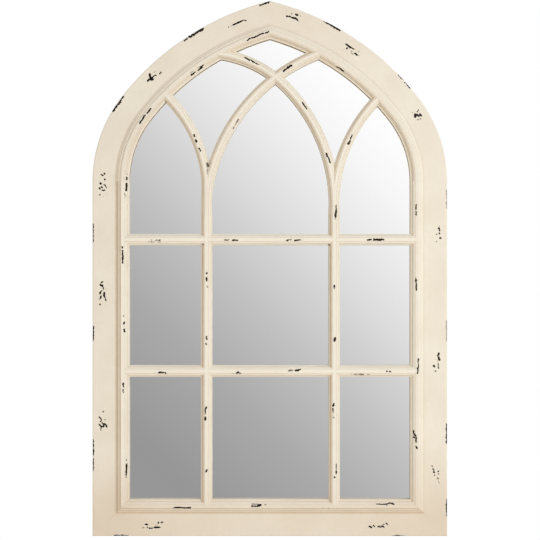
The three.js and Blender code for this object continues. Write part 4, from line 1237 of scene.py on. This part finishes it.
# rubber buttons that keep the back clear of the wall
bumperSizes = {
    "sides": 48,
    # radius and depth from the wall face to the face that is glued to the back
    "profile": [(0.02, 0.35), (3, 0.3), (5.5, 0.12), (6.6, 0), (7.3, 0.05), (7.9, 0.3), (8.3, 0.8),
                (8.6, 1.6), (8.8, 2.8), (9, 4.4), (9, 6.3), (8.9, 6.6), (8.6, 6.7), (0.02, 6.7)],
    "places": {"lower": (284.3, 45), "upper": (255.455, 717.65)},
}
for row, (x, height) in bumperSizes["places"].items():
    for word, side in (("left", -1), ("right", 1)):
        name = f"bumper_{row}_{word}"
        profile, sides = bumperSizes["profile"], bumperSizes["sides"]
        grid = np.stack(turnedGrid(profile, sides), -1) + (side * x, 0, height)
        mesh = skin(name, grid, turnedCaps(len(profile), sides))[0]
        newPiece(f"{name}_button", mesh, "mirror", finishes["rubber_moulded"], name)
print("bumpers made")

# pieces that keep their CAD shape and get their finish
keptFinishes = {
    "mirror_glass": mirrorSilver,
    "packing_sheet": finishes["millboard_felted"],
    "backing_board": finishes["hardboard_pressed"],
}
for joint in ("corner_left", "corner_right", "spring_left", "spring_right", "apex"):
    keptFinishes[f"biscuit_{joint}"] = finishes["beech_pressed"]
for name, material in keptFinishes.items():
    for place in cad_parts[name].material_slots:
        place.material = material
print("kept pieces finished")

# a plain studio: pale floor, white behind, and one large lamp with a weak one low on the left
studioSizes = {
    "floor": "#F0E8DC",
    "floorHeight": -0.915,  # metres: the mirror hangs clear of the floor
    "floorWidth": 4,
    "floorDepth": (-1.9, 1.9),
    "ambient": 0.7,
    "ambientColour": "#F8FAFF",
    "warmColour": "#E4C08C",  # light that comes back from the left and from below
    "warm": 0.7,
    "warmRange": (-0.2, -1.2),  # right plus up, from where it starts to where it is full
    "lampAim": (0, 0, -0.15),
    "lamps": {  # power, place, size, colour
        "key": (28.5, (1.9, -2.2, 0.3), 1.3, "#FFFFFF"),
        "bounce": (2.4, (-0.8, -1.15, -0.88), 0.9, "#FFE8CE"),
    },
    "reflected": 0.86,  # share that the silvering gives back
    # the wall opposite, as the mirror shows it from lower left to upper right: slope and colour
    "wall": [(-1.7, "#C9C9C8"), (-0.66, "#F0EDE8"), (-0.24, "#979797"), (-0.158, "#959595"),
             (-0.084, "#A9A9A9"), (-0.032, "#BEBEBE"), (0, "#CCCCCC"), (0.053, "#E3E3E3"),
             (0.105, "#F5F5F5"), (0.148, "#FEFEFE")],
    "camera": (0.00026, -3.275, -0.1573),
    "lens": 126,
    "sensor": 36,
    "farClip": 50,
}


def studioWorld(size):
    # seen directly it is white; what the mirror shows is a wall that darkens to the lower left; and
    # what lights the wood is soft, cool from the right and above and warm from the left and below
    scene = bpy.context.scene
    scene.world = bpy.data.worlds.new("studio")
    scene.world.use_nodes = True
    tree = scene.world.node_tree
    tree.nodes.clear()
    toward = addNode(tree, "ShaderNodeSeparateXYZ", inputs={
        0: addNode(tree, "ShaderNodeTexCoord").outputs["Generated"]})
    diagonal = addNode(tree, "ShaderNodeMath", {"operation": "ADD"}, {
        0: toward.outputs["X"], 1: toward.outputs["Z"]})
    ahead = addNode(tree, "ShaderNodeMath", {"operation": "ABSOLUTE"}, {0: toward.outputs["Y"]})
    ahead = addNode(tree, "ShaderNodeMath", {"operation": "MAXIMUM"}, {0: ahead.outputs[0], 1: 0.05})
    slope = addNode(tree, "ShaderNodeMath", {"operation": "DIVIDE"}, {
        0: diagonal.outputs[0], 1: ahead.outputs[0]})
    low, high = size["wall"][0][0], size["wall"][-1][0]
    share = addNode(tree, "ShaderNodeMapRange", inputs={
        "Value": slope.outputs[0], "From Min": low, "From Max": high})
    ramp = addNode(tree, "ShaderNodeValToRGB", inputs={0: share.outputs[0]})
    stops = ramp.color_ramp.elements
    for i, (place, colour) in enumerate(size["wall"]):
        spot = (place - low) / (high - low)
        stop = stops[i] if i < 2 else stops.new(spot)
        stop.position = spot
        stop.color = linear(colour)
    light = addNode(tree, "ShaderNodeLightPath")
    behind = addNode(tree, "ShaderNodeMath", {"operation": "GREATER_THAN"}, {0: toward.outputs["Y"], 1: 0})
    wall = addNode(tree, "ShaderNodeBackground", inputs={
        "Color": ramp.outputs[0], "Strength": 1 / size["reflected"]})
    white = addNode(tree, "ShaderNodeBackground", inputs={"Color": (1, 1, 1, 1), "Strength": 1})
    warmShare = addNode(tree, "ShaderNodeMapRange", {"interpolation_type": "SMOOTHSTEP"}, {
        "Value": diagonal.outputs[0], "From Min": size["warmRange"][0], "From Max": size["warmRange"][1]})
    coolPart = addNode(tree, "ShaderNodeBackground", inputs={
        "Color": linear(size["ambientColour"]), "Strength": size["ambient"]})
    warmPart = addNode(tree, "ShaderNodeBackground", inputs={
        "Color": linear(size["warmColour"]), "Strength": size["warm"]})
    soft = addNode(tree, "ShaderNodeMixShader", inputs={
        0: warmShare.outputs[0], 1: coolPart.outputs[0], 2: warmPart.outputs[0]})
    mirrored = addNode(tree, "ShaderNodeMixShader", inputs={
        0: behind.outputs[0], 1: wall.outputs[0], 2: white.outputs[0]})
    clear = addNode(tree, "ShaderNodeMath", {"operation": "MAXIMUM"}, {
        0: light.outputs["Is Camera Ray"], 1: light.outputs["Is Transmission Ray"]})
    seen = addNode(tree, "ShaderNodeMixShader", inputs={
        0: clear.outputs[0], 1: soft.outputs[0], 2: white.outputs[0]})
    world = addNode(tree, "ShaderNodeMixShader", inputs={
        0: light.outputs["Is Glossy Ray"], 1: seen.outputs[0], 2: mirrored.outputs[0]})
    addNode(tree, "ShaderNodeOutputWorld", inputs={0: world.outputs[0]})


studioWorld(studioSizes)

for name, (power, place, size, colour) in studioSizes["lamps"].items():
    light = bpy.data.lights.new(name, "AREA")
    light.energy, light.size, light.color = power, size, linear(colour)[:3]
    lamp = bpy.data.objects.new(name, light)
    bpy.context.scene.collection.objects.link(lamp)
    lamp.location = place
    lamp.rotation_euler = (Vector(studioSizes["lampAim"]) - lamp.location).to_track_quat("-Z", "Y").to_euler()
    lamp.visible_glossy = lamp.visible_camera = False

front, rear = studioSizes["floorDepth"]
wide = studioSizes["floorWidth"] / 2
floorMesh = bpy.data.meshes.new("floor")
corners = [(-wide, front, 0), (wide, front, 0), (wide, rear, 0), (-wide, rear, 0)]
floorMesh.from_pydata(corners, [], [(0, 1, 2, 3)])
floor = bpy.data.objects.new("floor", floorMesh)
floor.location.z = studioSizes["floorHeight"]
bpy.context.scene.collection.objects.link(floor)
floorPaint, floorTree, floorShader = newMaterial("floor_matt_paint")
grain = addNode(floorTree, "ShaderNodeTexNoise", inputs={"Scale": 3, "Detail": 2})
tone = addNode(floorTree, "ShaderNodeMapRange", inputs={
    "Value": grain.outputs["Fac"], "To Min": 0.85, "To Max": 0.95})
floorTree.links.new(tone.outputs[0], floorShader.inputs["Roughness"])
floorShader.inputs["Base Color"].default_value = linear(studioSizes["floor"])
floorMesh.materials.append(floorPaint)

lensData = bpy.data.cameras.new("camera")
lensData.lens, lensData.sensor_width = studioSizes["lens"], studioSizes["sensor"]
lensData.clip_end = studioSizes["farClip"]
camera = bpy.data.objects.new("camera", lensData)
bpy.context.scene.collection.objects.link(camera)
camera.location = studioSizes["camera"]
camera.rotation_euler = (math.pi / 2, 0, 0)
bpy.context.scene.camera = camera
bpy.context.scene.view_settings.view_transform = "Standard"
print("studio made")
